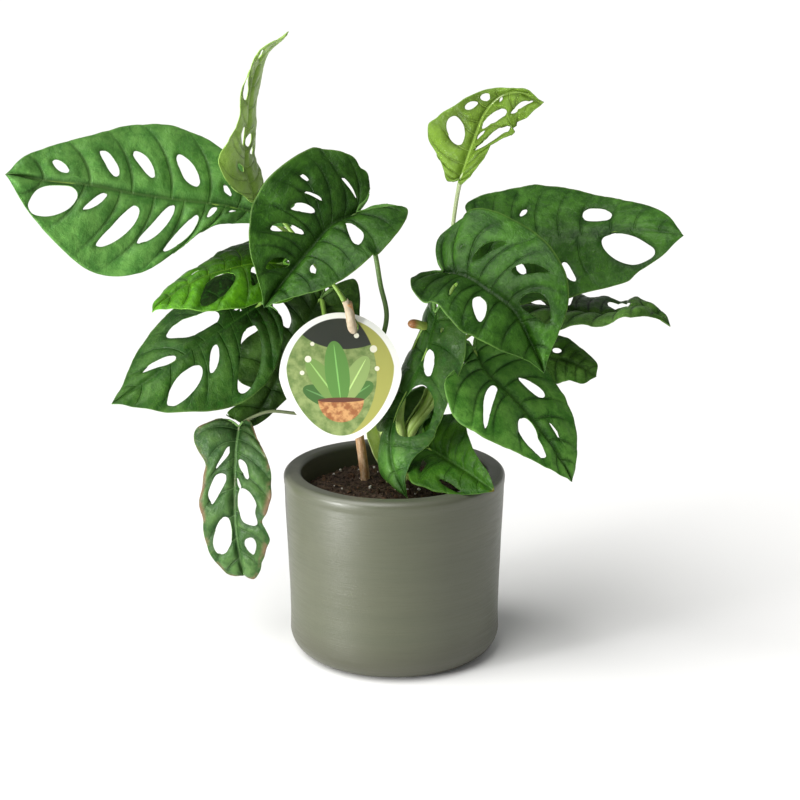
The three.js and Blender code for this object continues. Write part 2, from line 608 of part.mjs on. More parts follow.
// The point of a vine's centre line at a height, where a petiole grows from it.
function heightOn(vine, height) {
  const samples = curveThrough(vine.path).getSpacedPoints(120);
  const miss = (point) => Math.abs(point.z - height);
  return samples.reduce((best, point) => (miss(point) < miss(best) ? point : best)).toArray();
}

const vineOf = (vine) => bar(vine.path, vine.foot, vine.top, vine.steps);
const roomOf = (vine, gap) => room(vine.path, vine.foot, vine.top, vine.steps, gap);

const leftRoom = roomOf(leftVine, seatGap);
const bud = bar(budPath, budRadius, budRadius * 0.6, 6);
const rightSolid = vineOf(rightVine).add(bud);
const rightRoom = roomOf(rightVine, seatGap).add(room(budPath, budRadius, budRadius * 0.6, 6, seatGap));

addMesh('pot', potSolid(), 0x7d8670, 0.55);
const soil = soilSolid().subtract(leftRoom).subtract(rightRoom).subtract(sheathSolid(seatGap));
addMesh('soil', soil, 0x33241a, 0.95);
addMesh('vine_left', vineOf(leftVine), 0xa97a4b, 0.8);
addMesh('vine_right', rightSolid, 0x7fa04a, 0.5);
addMesh('sheath_front', sheathSolid(0), 0xa3c46a, 0.5);
addMesh('hang_tag', tagSolid().subtract(roomOf(leftVine, tagSlotClearance)), 0xe9ead9, 0.5);

leaves.forEach((leaf) => {
  const blade = bladeSolid(leaf);
  const rib = curveThrough(leaf.rib);
  const inside = rib.getPointAt(0.03).addScaledVector(vector(leaf.face).normalize(), -1);
  const route = [heightOn(leaf.vine, leaf.height), ...leaf.petiole.slice(0, -1), inside.toArray()];
  const steps = Math.round(curveThrough(route).getLength() / 9) + 2;
  const petiole = bar(route, leaf.radius, leaf.radius * 0.9, steps, 6);
  const bodies = blade.add(petiole).subtract(leftRoom).subtract(rightRoom).decompose();
  const largest = bodies.reduce((best, body) => (body.volume() > best.volume() ? body : best));
  addMesh(leaf.name, largest.simplify(0.04), leaf.color, 0.45);
});

export default plant;
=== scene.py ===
import bisect
import math
import random

import bmesh
import bpy
from mathutils import Matrix, Vector, noise


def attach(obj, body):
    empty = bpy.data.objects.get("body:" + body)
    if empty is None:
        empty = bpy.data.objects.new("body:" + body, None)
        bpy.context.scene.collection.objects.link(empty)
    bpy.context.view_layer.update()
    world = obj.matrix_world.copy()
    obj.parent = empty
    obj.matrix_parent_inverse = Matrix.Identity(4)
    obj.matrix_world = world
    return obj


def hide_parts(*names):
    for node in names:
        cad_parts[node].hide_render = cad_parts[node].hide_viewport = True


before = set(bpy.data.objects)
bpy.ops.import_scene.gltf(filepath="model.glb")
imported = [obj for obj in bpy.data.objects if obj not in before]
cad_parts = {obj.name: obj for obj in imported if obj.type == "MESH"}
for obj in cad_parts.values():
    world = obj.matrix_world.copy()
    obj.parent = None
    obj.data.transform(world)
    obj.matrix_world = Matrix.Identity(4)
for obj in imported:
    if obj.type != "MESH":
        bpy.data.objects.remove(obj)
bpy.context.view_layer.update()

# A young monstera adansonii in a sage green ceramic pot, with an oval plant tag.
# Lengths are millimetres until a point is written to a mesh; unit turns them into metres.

unit = 0.001
uvUnit = 0.01  # one UV square is 100 mm wide


# A smooth line through points (centripetal Catmull-Rom), measured along its length.
class Route:
    def __init__(self, points, samples=200):
        inner = [Vector(p) for p in points]
        self.spans = len(inner) - 1
        self.points = [2 * inner[0] - inner[1], *inner, 2 * inner[-1] - inner[-2]]
        self.samples = samples
        table = [self.raw(i / samples) for i in range(samples + 1)]
        self.reach = [0.0]
        for here, after in zip(table, table[1:]):
            self.reach.append(self.reach[-1] + (after - here).length)
        self.length = self.reach[-1]

    def raw(self, share):
        place = min(max(share, 0.0), 1.0) * self.spans
        i = min(int(place), self.spans - 1)
        w = place - i
        a, b, c, d = self.points[i:i + 4]
        before, span, after = ((q - p).length ** 0.5 for p, q in ((a, b), (b, c), (c, d)))
        leave = (b - a) / before - (c - a) / (before + span) + (c - b) / span
        arrive = (c - b) / span - (d - b) / (span + after) + (d - c) / after
        leave, arrive = leave * span, arrive * span
        return (b + leave * w + (3 * c - 3 * b - 2 * leave - arrive) * w ** 2
                + (2 * b - 2 * c + leave + arrive) * w ** 3)

    def at(self, share):
        target = min(max(share, 0.0), 1.0) * self.length
        i = min(max(bisect.bisect_right(self.reach, target) - 1, 0), self.samples - 1)
        gap = self.reach[i + 1] - self.reach[i]
        return self.raw((i + (target - self.reach[i]) / gap) / self.samples)

    def tangent(self, share, step=0.0005):
        low, high = max(share - step, 0.0), min(share + step, 1.0)
        return (self.at(high) - self.at(low)).normalized()

    # Two directions square to the line: sideways, and away from the front.
    def axes(self, share):
        tangent = self.tangent(share)
        side = tangent.cross(Vector((0, -1, 0))).normalized()
        return side, side.cross(tangent)

    def nearestHeight(self, height, steps=200):
        return min((self.at(i / steps) for i in range(steps + 1)), key=lambda p: abs(p.z - height))


def blend(a, b, share):
    return a + (b - a) * min(max(share, 0.0), 1.0)


def smooth(low, high, value):
    t = min(max((value - low) / (high - low), 0.0), 1.0)
    return t * t * (3 - 2 * t)


# A Principled material, with its look's roughness and specular level, and short ways to add nodes to it.
class Finish:
    def __init__(self, name, look):
        self.material = bpy.data.materials.new(name)
        self.material.use_nodes = True
        self.tree = self.material.node_tree
        self.surface = self.tree.nodes["Principled BSDF"]
        self.surface.inputs["Roughness"].default_value = look["rough"]
        self.surface.inputs["Specular IOR Level"].default_value = look["specular"]

    def node(self, kind, inputs=None, **settings):
        made = self.tree.nodes.new(kind)
        for key, value in settings.items():
            setattr(made, key, value)
        for socket, value in (inputs or {}).items():
            if isinstance(value, bpy.types.NodeSocket):
                self.tree.links.new(value, made.inputs[socket])
            else:
                made.inputs[socket].default_value = value
        return made

    def uv(self, layer="UVMap"):
        return self.node("ShaderNodeUVMap", uv_map=layer).outputs[0]

    def objectPlace(self):
        return self.node("ShaderNodeTexCoord").outputs["Object"]

    def split(self, vector):
        return self.node("ShaderNodeSeparateXYZ", {0: vector}).outputs

    def join(self, x, y):
        return self.node("ShaderNodeCombineXYZ", {0: x, 1: y}).outputs[0]

    def stretch(self, vector, scale):
        return self.node("ShaderNodeMapping", {"Vector": vector, "Scale": scale}).outputs[0]

    def noise(self, vector, scale, detail=3.0, rough=0.55, warp=0.0):
        inputs = {"Vector": vector, "Scale": scale, "Detail": detail, "Roughness": rough, "Distortion": warp}
        return self.node("ShaderNodeTexNoise", inputs).outputs[0]

    # Noise drawn out into fibres or bands; drawn is how often it repeats in each direction.
    def grain(self, vector, drawn, detail=3.0, rough=0.55):
        return self.noise(self.stretch(vector, drawn), 1.0, detail, rough)

    def cells(self, vector, scale, feature="DISTANCE_TO_EDGE"):
        inputs = {"Vector": vector, "Scale": scale}
        return self.node("ShaderNodeTexVoronoi", inputs, feature=feature).outputs[0]

    def math(self, kind, a, b=0.0):
        return self.node("ShaderNodeMath", {0: a, 1: b}, operation=kind).outputs[0]

    def times(self, a, b):
        return self.math("MULTIPLY", a, b)

    def vector(self, kind, a, b=(0, 0, 0)):
        return self.node("ShaderNodeVectorMath", {0: a, 1: b}, operation=kind).outputs

    # A smooth step from start to end while value runs from low to high.
    def span(self, value, low, high, start=0.0, end=1.0):
        inputs = {"Value": value, 1: low, 2: high, 3: start, 4: end}
        return self.node("ShaderNodeMapRange", inputs, interpolation_type="SMOOTHSTEP").outputs[0]

    def mix(self, share, a, b):
        a, b = (x if isinstance(x, bpy.types.NodeSocket) else (*x, 1.0) for x in (a, b))
        return self.node("ShaderNodeMix", {0: share, 6: a, 7: b}, data_type="RGBA").outputs[2]

    def scale(self, tone, share):
        return self.node("ShaderNodeVectorMath", {0: tone, "Scale": share}, operation="SCALE").outputs[0]

    def bump(self, height, distance, strength=1.0, under=None):
        inputs = {"Height": height, "Distance": distance, "Strength": strength}
        if under:
            inputs["Normal"] = under
        return self.node("ShaderNodeBump", inputs).outputs[0]

    def wear(self, **sockets):
        for socket, value in sockets.items():
            self.tree.links.new(value, self.surface.inputs[socket.replace("_", " ")])
        return self.material


def addObject(name, data):
    made = bpy.data.objects.new(name, data)
    bpy.context.collection.objects.link(made)
    return made


def makePiece(name, mesh, materials, node, smoothShade=True):
    piece = addObject(name, mesh)
    for material in materials:
        mesh.materials.append(material)
    if smoothShade:
        mesh.shade_smooth()
    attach(piece, "root")
    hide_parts(node)
    return piece


def meshFrom(bm, name):
    mesh = bpy.data.meshes.new(name)
    bm.to_mesh(mesh)
    bm.free()
    return mesh


def subdivide(piece):
    made = piece.modifiers.new("smooth", "SUBSURF")
    made.levels = made.render_levels = 1


def thicken(piece, thickness, offset=0):
    shell = piece.modifiers.new("sheet", "SOLIDIFY")
    shell.thickness = thickness * unit
    shell.offset = offset
    return shell


# A round tube along a route: a circle extruded step by step. width(share, angle) is the radius.
def addTube(bm, route, width, steps, sides):
    layer = bm.loops.layers.uv.get("UVMap") or bm.loops.layers.uv.new("UVMap")
    ring = bmesh.ops.create_circle(bm, segments=sides, radius=1.0, cap_ends=False)["verts"]
    flats = [v.co.copy() for v in ring]
    rings = []
    for step in range(steps + 1):
        share = step / steps
        side, up = route.axes(share)
        if step:
            edges = dict.fromkeys(e for v in ring for e in v.link_edges if all(w in ring for w in e.verts))
            made = bmesh.ops.extrude_edge_only(bm, edges=list(edges))["geom"]
            fresh = [v for v in made if isinstance(v, bmesh.types.BMVert)]
            ring = [next(w for e in old.link_edges for w in e.verts if w in fresh) for old in ring]
        centre = route.at(share)
        for vert, flat in zip(ring, flats):
            angle = math.atan2(flat.y, flat.x)
            vert.co = (centre + (side * flat.x + up * flat.y) * width(share, angle)) * unit
        rings.append(ring)
    faces = list(dict.fromkeys(f for r in rings for v in r for f in v.link_faces))
    for end in (rings[0], rings[-1]):
        faces += bmesh.ops.contextual_create(bm, geom=end)["faces"]
    bmesh.ops.recalc_face_normals(bm, faces=faces)
    where = {v: (i, k) for i, r in enumerate(rings) for k, v in enumerate(r)}
    for face in faces:
        seam = max(where[v][1] for v in face.verts) == sides - 1
        for loop in face.loops:
            i, k = where[loop.vert]
            k = sides if seam and k == 0 else k
            loop[layer].uv = (k / sides, i / steps * route.length * uvUnit)


# A thin sheet on a route: place(share, turn) is a point of it, with turn from -1 to 1 across.
def makeSheet(name, route, look, place, skin, node):
    bm = bmesh.new()
    bmesh.ops.create_grid(bm, x_segments=look["rows"], y_segments=look["across"], size=1.0)
    layer = bm.loops.layers.uv.new("UVMap")
    where = {}
    for vert in bm.verts:
        share, turn = (vert.co.x + 1) / 2, vert.co.y
        where[vert] = (turn * 0.5 + 0.5, share * route.length * uvUnit)
        vert.co = place(share, turn) * unit
    for face in bm.faces:
        for loop in face.loops:
            loop[layer].uv = where[loop.vert]
    piece = makePiece(name, meshFrom(bm, name), [skin], node)
    thicken(piece, look["thickness"])
    subdivide(piece)


print("curves and finishes ready")

# Leaf colours: dark and light of the blade, its veins, how much rib and edge show, and dry or brown parts.
leafTones = {
    "fresh": dict(dark=(0.040, 0.145, 0.022), light=(0.130, 0.305, 0.064), vein=(0.26, 0.46, 0.13),
                  rib=0.16, edge=0.1),
    "mid": dict(dark=(0.017, 0.086, 0.006), light=(0.096, 0.238, 0.037), vein=(0.15, 0.32, 0.06),
                rib=0.06, edge=0.3),
    "deep": dict(dark=(0.009, 0.048, 0.002), light=(0.060, 0.176, 0.019), vein=(0.08, 0.20, 0.03),
                 rib=0.05, edge=0.35),
    "dark": dict(dark=(0.010, 0.040, 0.002), light=(0.064, 0.142, 0.022), vein=(0.06, 0.16, 0.03),
                 rib=0.10, edge=0.2),
    "bright": dict(dark=(0.030, 0.135, 0.001), light=(0.125, 0.390, 0.010), vein=(0.24, 0.48, 0.03),
                   rib=0.15, edge=0.5),
    "dusty": dict(dark=(0.017, 0.066, 0.012), light=(0.106, 0.215, 0.056), vein=(0.15, 0.28, 0.09),
                  rib=0.35, edge=0.3, scorch=0.9),
    "young": dict(dark=(0.085, 0.160, 0.010), light=(0.150, 0.262, 0.030), vein=(0.27, 0.43, 0.07),
                  rib=0.7, edge=0.5),
    "olive": dict(dark=(0.190, 0.340, 0.040), light=(0.360, 0.560, 0.120), vein=(0.42, 0.58, 0.20),
                  rib=0.3, edge=0.4),
    "rich": dict(dark=(0.013, 0.068, 0.003), light=(0.060, 0.172, 0.013), vein=(0.12, 0.28, 0.05),
                 rib=0.2, edge=0.2, brownFrom=0.66),
}
leafLook = {
    "rough": 0.34, "roughSpread": 0.08, "specular": 0.15, "shadedSpecular": 0.03,
    "patchScale": 7.0, "mottleScale": 20.0, "fineScale": 60.0, "netScale": 34.0,
    "creaseShadeShare": 0.80, "holeShadeShare": 0.50, "pillowHighlightShare": 0.30, "paintedShadeShare": 0.45,
    "baseShadeFade": 0.12, "fleckShadeFade": 0.2,  # blade and flecks are scaled by these, to the power of the painted shade and light
    "rim": (0.19, 0.33, 0.07), "brown": (0.20, 0.085, 0.012), "scorched": (0.17, 0.10, 0.06),
    "brownEdge": 0.03, "relief": 0.0009,
}
underLook = {"rough": 0.6, "specular": 0.3, "patchScale": 12.0, "pale": (0.115, 0.20, 0.055),
             "paleShare": 0.4, "vein": (0.20, 0.36, 0.10), "relief": 0.0003}
rimLook = {"rough": 0.5, "specular": 0.3, "patchScale": 30.0}


# The face of a leaf: patches, flecks with painted glints, creased side veins, a fine net, and painted shade
# and highlight.
def leafSkin(name, tone):
    dark, light = tone["dark"], tone["light"]
    skin = Finish(name, leafLook)
    flat, veins = skin.uv("flat"), skin.uv("veins")
    # The shade layer carries painted shade round the holes and in the creases, and painted highlight on the
    # pillows.
    shade = skin.node("ShaderNodeVertexColor", layer_name="shade").outputs[0]
    ring, crease, pillow = skin.node("ShaderNodeSeparateColor", {0: shade}).outputs[:3]
    patches = skin.noise(flat, leafLook["patchScale"], 3.0, 0.55, 0.3)
    mottle = skin.noise(flat, leafLook["mottleScale"], 4.0, 0.62, 0.5)
    speckle = skin.noise(flat, leafLook["fineScale"], 3.0, 0.6)
    # Painted shade and light, partly the leaf's own tone: above zero darker, below zero lighter.
    tint = skin.math("SUBTRACT", skin.node("ShaderNodeAttribute", attribute_name="tint").outputs["Fac"], 0.5)
    # Light flecks, partly the leaf's own mottling and partly painted glints, dimmed less than the blade by
    # painted shade.
    fleckAndGlint = skin.scale(light, skin.math("POWER", leafLook["fleckShadeFade"], tint))
    base = skin.mix(skin.span(patches, 0.37, 0.66, 0.05, 0.78), dark, light)
    # Painted highlight on the pillows between the veins.
    base = skin.mix(skin.times(pillow, leafLook["pillowHighlightShare"]), base, light)
    # Painted shade and light scale the blade's colour.
    base = skin.scale(base, skin.math("POWER", leafLook["baseShadeFade"], tint))
    base = skin.mix(skin.span(mottle, 0.30, 0.48, 0.6, 0.0), base, dark)
    # Light flecks and painted glints.
    base = skin.mix(skin.span(mottle, 0.50, 0.74, 0.0, 0.65), base, fleckAndGlint)
    base = skin.mix(skin.span(speckle, 0.54, 0.74, 0.0, 0.45), base, fleckAndGlint)
    phase, out, _ = skin.split(veins)
    across, along, _ = skin.split(flat)
    taper = skin.span(out, 0.25, 0.95, 1.0, 0.1)
    vein = skin.times(skin.span(skin.math("PINGPONG", phase, 0.5), 0.015, 0.05, 1.0, 0.0), taper)
    net = skin.span(skin.cells(flat, leafLook["netScale"]), 0.0, 0.08, 1.0, 0.0)
    # Painted shade in the vein creases and in a ring round each hole.
    deep = tuple(leafLook["paintedShadeShare"] * c for c in dark)
    base = skin.mix(skin.times(crease, leafLook["creaseShadeShare"]), base, deep)
    base = skin.mix(skin.times(ring, leafLook["holeShadeShare"]), base, deep)
    base = skin.mix(skin.times(vein, 0.6 * tone["rib"]), base, tone["vein"])
    ribLine = skin.span(skin.math("ABSOLUTE", across), 0.004, 0.011, 1.0, 0.0)
    base = skin.mix(skin.times(ribLine, tone["rib"]), base, tone["vein"])
    base = skin.mix(skin.span(out, 0.972, 0.996, 0.0, tone["edge"]), base, leafLook["rim"])
    if "scorch" in tone:
        worn = skin.times(skin.span(patches, 0.42, 0.58), skin.span(out, 0.80, 0.98, 0.0, tone["scorch"]))
        base = skin.mix(worn, base, leafLook["scorched"])
    if "brownFrom" in tone:
        end = skin.math("ADD", along, skin.times(mottle, 0.06))
        brown = skin.span(end, tone["brownFrom"], tone["brownFrom"] + leafLook["brownEdge"])
        base = skin.mix(brown, base, leafLook["brown"])
    height = skin.math("SUBTRACT", skin.times(mottle, 1.2), skin.times(vein, 0.8))
    height = skin.math("ADD", height, skin.times(speckle, 0.35))
    height = skin.math("SUBTRACT", height, skin.times(net, 0.12))
    middle, spread = leafLook["rough"], leafLook["roughSpread"]
    rough = skin.span(mottle, 0.3, 0.7, middle + spread, middle - spread)
    # Less specular where the painted shade lies.
    sheen = skin.span(tint, 0.15, 0.8, leafLook["specular"], leafLook["shadedSpecular"])
    return skin.wear(Base_Color=base, Roughness=rough, Specular_IOR_Level=sheen,
                     Normal=skin.bump(height, leafLook["relief"], 0.7))


def leafUnder(name, tone):
    under = Finish(name, underLook)
    flat, veins = under.uv("flat"), under.uv("veins")
    patches = under.noise(flat, underLook["patchScale"], 3.0)
    share = underLook["paleShare"]
    pale = tuple((1 - share) * a + share * b for a, b in zip(tone["light"], underLook["pale"]))
    base = under.mix(under.span(patches, 0.3, 0.7), tone["light"], pale)
    vein = under.span(under.math("PINGPONG", under.split(veins)[0], 0.5), 0.02, 0.07, 1.0, 0.0)
    net = under.span(under.cells(flat, leafLook["netScale"]), 0.0, 0.09, 1.0, 0.0)
    base = under.mix(under.times(vein, 0.5), base, underLook["vein"])
    height = under.math("ADD", under.times(vein, 0.7), under.times(net, 0.4))
    return under.wear(Base_Color=base, Normal=under.bump(height, underLook["relief"], 0.7))


def leafRim(name, tone):
    rim = Finish(name, rimLook)
    pale = tuple(a + (b - a) * tone["edge"] for a, b in zip(tone["light"], leafLook["rim"]))
    share = rim.span(rim.noise(rim.uv("flat"), rimLook["patchScale"], 2.0), 0.3, 0.7)
    return rim.wear(Base_Color=rim.mix(share, tone["light"], pale))


# Stalks, green stems and papery sheaths: patches of two colours under fine lines that run along them.
stalkLook = {"rough": 0.42, "specular": 0.4, "patches": (3.0, 5.0, 1.0), "patchFrom": 0.35,
             "lines": (26.0, 3.0, 1.0), "lineNoise": (3.0, 0.55), "lineShare": 0.35,
             "brown": (0.23, 0.10, 0.03), "brownEdge": 0.04, "relief": 0.0003, "strength": 0.5}
paperLook = {"rough": 0.62, "specular": 0.3, "patches": (4.0, 12.0, 1.0), "patchFrom": 0.32,
             "lines": (34.0, 2.5, 1.0), "lineNoise": (4.0, 0.6), "lineShare": 0.5,
             "relief": 0.0004, "strength": 0.6}
stalkLine = (0.016, 0.07, 0.009)
stalkTones = {  # low, high and line colours
    "stalkGreen": ((0.15, 0.28, 0.036), (0.29, 0.44, 0.080), stalkLine),
    "stalkDark": ((0.06, 0.13, 0.02), (0.13, 0.23, 0.05), stalkLine),
    "stalkDusty": ((0.11, 0.14, 0.06), (0.22, 0.25, 0.14), stalkLine),
    "stalkPale": ((0.36, 0.46, 0.20), (0.55, 0.62, 0.38), stalkLine),
    "vineGreen": ((0.30, 0.46, 0.08), (0.46, 0.62, 0.16), stalkLine),
    "budTip": ((0.20, 0.28, 0.045), (0.34, 0.42, 0.10), stalkLine),
}
paperTones = {
    "greenSheath": ((0.36, 0.52, 0.12), (0.52, 0.68, 0.22), (0.22, 0.36, 0.08)),
    "backSheath": ((0.05, 0.12, 0.022), (0.11, 0.22, 0.05), (0.03, 0.08, 0.014)),
    "drySheath": ((0.46, 0.36, 0.24), (0.66, 0.56, 0.42), (0.30, 0.22, 0.14)),
    "foldedSheath": ((0.52, 0.68, 0.20), (0.72, 0.84, 0.38), (0.34, 0.50, 0.12)),
}


# brownFrom is where the far end turns brown, as a place on the UV map's length.
def fibreSkin(name, look, low, high, line, brownFrom=None):
    skin = Finish(name, look)
    spots = skin.uv()
    lines = skin.grain(spots, look["lines"], *look["lineNoise"])
    patches = skin.grain(spots, look["patches"], 4.0, 0.6)
    base = skin.mix(skin.span(patches, look["patchFrom"], 0.7), low, high)
    base = skin.mix(skin.span(lines, 0.5, 0.75, 0.0, look["lineShare"]), base, line)
    if brownFrom:
        brown = skin.span(skin.split(spots)[1], brownFrom, brownFrom + look["brownEdge"])
        base = skin.mix(brown, base, look["brown"])
    return skin.wear(Base_Color=base, Normal=skin.bump(lines, look["relief"], look["strength"]))


leafShape = {
    "edgeSamples": 400, "ribSamples": 240,
    "stations": (0.06, 0.25, 0.48, 0.72, 0.9), "sinusHalfGap": 0.8, "lobeShare": 0.45,
    "veinStart": 0.14, "veinSweep": 1.3, "veinBow": 0.1, "veinGap": 0.1, "besideHole": 0.055,
    "cell": 1.1, "across": 24, "fineCells": 1.6, "thickness": 0.45,
    "margin": 0.5, "edgeWave": 0.7, "swell": 0.9, "swellScale": 0.045,
    "blister": 0.55, "blisterScale": 0.14, "fineBlister": 0.45, "fineBlisterScale": 0.3,
    "quilt": 0.15, "quiltMost": 2.0, "quiltLength": 1.15, "creaseWidth": 0.9, "ribCreaseWidth": 1.7,
    "ribDepth": 1.3, "ribWidth": 2.6, "holeDip": 1.1, "holeRing": 2.4,
    "holeSquareness": 2.3, "holeWobble": 0.07, "slitWidth": 3.5, "slitPull": 5,
    "toneAndShadeMiddle": 0.48, "toneAndShadeLeast": -0.2, "toneAndShadeMost": 1.9,
}


# The same bent sheet as the solid leaf. Side 0 is the left half and 1 the right. A place on a half is
# (p, q): p runs along the rib and the edge from the base to the tip, q from the rib out to the edge.
class Blade:
    def __init__(self, leaf):
        self.leaf = leaf
        self.rib = Route(leaf["rib"])
        self.length = self.rib.length
        self.halves = (leaf["left"], leaf["right"])
        self.seed = Vector((leaf["height"] * 1.7, leaf["radius"] * 31, len(leaf["name"])))
        self.quilt = leaf["quilt"]
        self.ripple = leaf["ripple"]
        edges, ribs = leafShape["edgeSamples"], leafShape["ribSamples"]
        self.margins = [self.marginOf(half) for half in self.halves]
        self.edges = [[self.edgePoint(side, i / edges) for i in range(edges + 1)] for side in (0, 1)]
        self.frames = [self.frameAt(i / ribs) for i in range(ribs + 1)]
        self.veins = [self.veinsOf(half) for half in self.halves]
        # Spots of painted shade and light, partly the leaf's own tone.
        self.spots = [(Vector(self.flatSigned(side, p, q)), reach, amount)
                      for side, p, q, reach, amount in leaf["tints"]]

    def marginOf(self, half):
        lobe, *widths = half["widths"]
        points = [(leafShape["sinusHalfGap"], 0, 0), (leafShape["lobeShare"] * widths[0], -lobe, 0)]
        points += [(w, s * self.length, 0) for w, s in zip(widths, leafShape["stations"])]
        return Route([*points, (0, self.length, 0)])

    # The edge with its small unevenness and, where a half lists them, notches or lobes.
    def edgePoint(self, side, p):
        point = self.margins[side].at(p)
        uneven = leafShape["margin"] * self.ripple
        wide = uneven * noise.noise(Vector((side * 5, p * 16, 1)) + self.seed) * smooth(0.05, 0.2, p)
        for place, depth, reach in self.halves[side].get("notches", ()):
            wide -= depth * math.exp(-((p - place) / reach) ** 2)
        tangent = self.margins[side].tangent(p)
        return point + Vector((tangent.y, -tangent.x, 0)) * wide * (1 - smooth(0.96, 1.0, p))

    def edgeAt(self, side, p):
        last = leafShape["edgeSamples"]
        place = min(max(p, 0.0), 1.0) * last
        i = min(int(place), last - 1)
        return self.edges[side][i].lerp(self.edges[side][i + 1], place - i)

    # Point, tangent, normal and sideways direction on the rib, with the leaf's twist.
    def frameAt(self, share):
        tangent = self.rib.tangent(share)
        up = Vector(self.leaf["face"])
        up = (up - tangent * up.dot(tangent)).normalized()
        across = tangent.cross(up)
        turn = math.radians(self.leaf["twist"]) * share
        normal = up * math.cos(turn) + across * math.sin(turn)
        across = across * math.cos(turn) - up * math.sin(turn)
        return self.rib.at(share), tangent, normal, across

    def frame(self, y):
        last = leafShape["ribSamples"]
        place = min(max(y / self.length, 0.0), 1.0) * last
        i = min(int(place), last - 1)
        point, tangent, normal, across = (
            a.lerp(b, place - i) for a, b in zip(self.frames[i], self.frames[i + 1]))
        return point + tangent * min(y, 0.0), normal, across

    # A flat point x out from the rib and y along it, bent into place and raised by rise.
    def place(self, side, x, y, rise=0.0):
        half = self.halves[side]
        point, normal, across = self.frame(y)
        widest = max(half["widths"][1:])
        fold = math.radians(half["fold"])
        bend = math.radians(half["curl"]) / widest
        here = fold - bend * x
        out = (math.sin(fold) - math.sin(here)) / bend
        lift = (math.cos(here) - math.cos(fold)) / bend
        height, count, phase = self.leaf["wave"]
        turn = count * y / self.length + phase + 0.3 * side
        lift += height * math.sin(2 * math.pi * turn) * (x / widest) ** 2
        across = -across if side == 0 else across
        slope = normal * math.cos(here) - across * math.sin(here)
        slope = slope.lerp(normal, min(max(1 - x / 4, 0.0), 1.0))
        return point + across * out + normal * lift + slope * rise

    def flat(self, side, p, q):
        edge = self.edgeAt(side, p)
        past = max((p - leafShape["veinStart"]) / (1 - leafShape["veinStart"]), 0.0)
        start = self.length * past ** leafShape["veinSweep"]
        dx, dy = edge.x, edge.y - start
        bow = leafShape["veinBow"] * 4 * q * (1 - q)
        return max(dx * q + dy * bow, 0.0), start + dy * q - dx * bow

    def flatSigned(self, side, p, q):
        x, y = self.flat(side, p, q)
        return (x if side else -x), y

    # How much darker (above 0.5) or lighter (below 0.5) than its skin the leaf is here, as painted shade and
    # light that are partly the leaf's own tone.
    def tint(self, side, x, y):
        place = Vector((x if side else -x, y))
        value = leafShape["toneAndShadeMiddle"] + self.leaf["shade"]
        for centre, reach, amount in self.spots:
            value += amount * math.exp(-(place - centre).length_squared / reach ** 2)
        return min(max(value, leafShape["toneAndShadeLeast"]), leafShape["toneAndShadeMost"])

    # Side veins as pairs of p at the rib and at the edge: one on each side of every hole, and
    # more in the wide gaps.
    def veinsOf(self, half):
        lines = [(0.0, 0.0)]
        beside = leafShape["besideHole"]
        for inner, outer, *_ in half["holes"]:
            before = (inner - beside, outer - beside)
            if before[0] - lines[-1][0] < 0.03 and len(lines) > 1:
                lines[-1] = tuple((a + b) / 2 for a, b in zip(before, lines[-1]))
            else:
                lines.append(before)
            lines.append((min(inner + beside, 0.97), min(outer + beside, 0.985)))
        lines.append((1.0, 1.0))
        filled = [lines[0]]
        for line in lines[1:]:
            last = filled[-1]
            gap = (line[0] + line[1] - last[0] - last[1]) / 2
            parts = max(round(gap / leafShape["veinGap"]), 1) if gap > 0.15 else 1
            for k in range(1, parts + 1):
                filled.append(tuple(a + (b - a) * k / parts for a, b in zip(last, line)))
        return filled

    # The vein before this place, the share of the way to the next one, and the gap between them.
    def veinPhase(self, side, p, q):
        at = [inner + (outer - inner) * q for inner, outer in self.veins[side]]
        k = min(max(bisect.bisect_right(at, p) - 1, 0), len(at) - 2)
        gap = max(at[k + 1] - at[k], 1e-4)
        return k, min(max((p - at[k]) / gap, 0.0), 1.0), gap

    # Height over the smooth sheet, how deep the vein creases are here, and how full the pillow between them;
    # the last two are painted on the leaf's face as shade in the creases and highlight on the pillows.
    def relief(self, side, p, q, x, y, nearHole):
        _, t, gap = self.veinPhase(side, p, q)
        spacing = gap * (self.length * leafShape["quiltLength"] * (1 - q) + self.margins[side].length * q)
        tall = min(leafShape["quilt"] * spacing, leafShape["quiltMost"]) * self.quilt
        full = smooth(0.0, 0.16, q) * (1 - 0.7 * smooth(0.6, 1.0, q))
        pillow = math.sin(math.pi * t) ** 0.6
        rib = math.exp(-(x / leafShape["ribWidth"]) ** 2) * smooth(0.0, 0.05, p)
        place = Vector((x if side else -x, y, 0)) + self.seed
        rise = tall * pillow * full - leafShape["ribDepth"] * rib - leafShape["holeDip"] * nearHole
        rise += leafShape["swell"] * noise.noise(place * leafShape["swellScale"]) * q
        fine = leafShape["fineBlister"] * noise.noise(place * leafShape["fineBlisterScale"])
        blister = noise.noise(place * leafShape["blisterScale"]) + fine
        rise += leafShape["blister"] * blister * smooth(0, 0.2, q)
        ripple = noise.noise(Vector((side * 7, p * 11, 3)) + self.seed)
        rise += leafShape["edgeWave"] * ripple * q ** 3 * self.ripple
        fromVein = min(t, 1 - t) * spacing
        crease = max(math.exp(-(fromVein / leafShape["creaseWidth"]) ** 2) * full,
                     math.exp(-(x / leafShape["ribCreaseWidth"]) ** 2))
        return rise, crease * min(self.quilt + 0.15, 1.0), pillow * full


# A half's holes with their widths turned from millimetres into shares of p.
def holesOf(blade, side):
    holes = []
    for inner, outer, q0, q1, width, *form in blade.halves[side]["holes"]:
        middle, step = (q0 + q1) / 2, 0.01
        axis = (inner + outer) / 2
        slope = (outer - inner) / (q1 - q0)
        centre, along, out = (
            Vector(blade.flat(side, axis + dp + slope * dq, middle + dq))
            for dp, dq in ((0, 0), (step, 0), (0, step)))
        along, out = along - centre, (out - centre).normalized()
        half = width / 2 * step / abs(along.x * out.y - along.y * out.x)
        holes.append((inner, outer, q0, q1, half, *(form or (0.0,)), width < leafShape["slitWidth"]))
    return holes


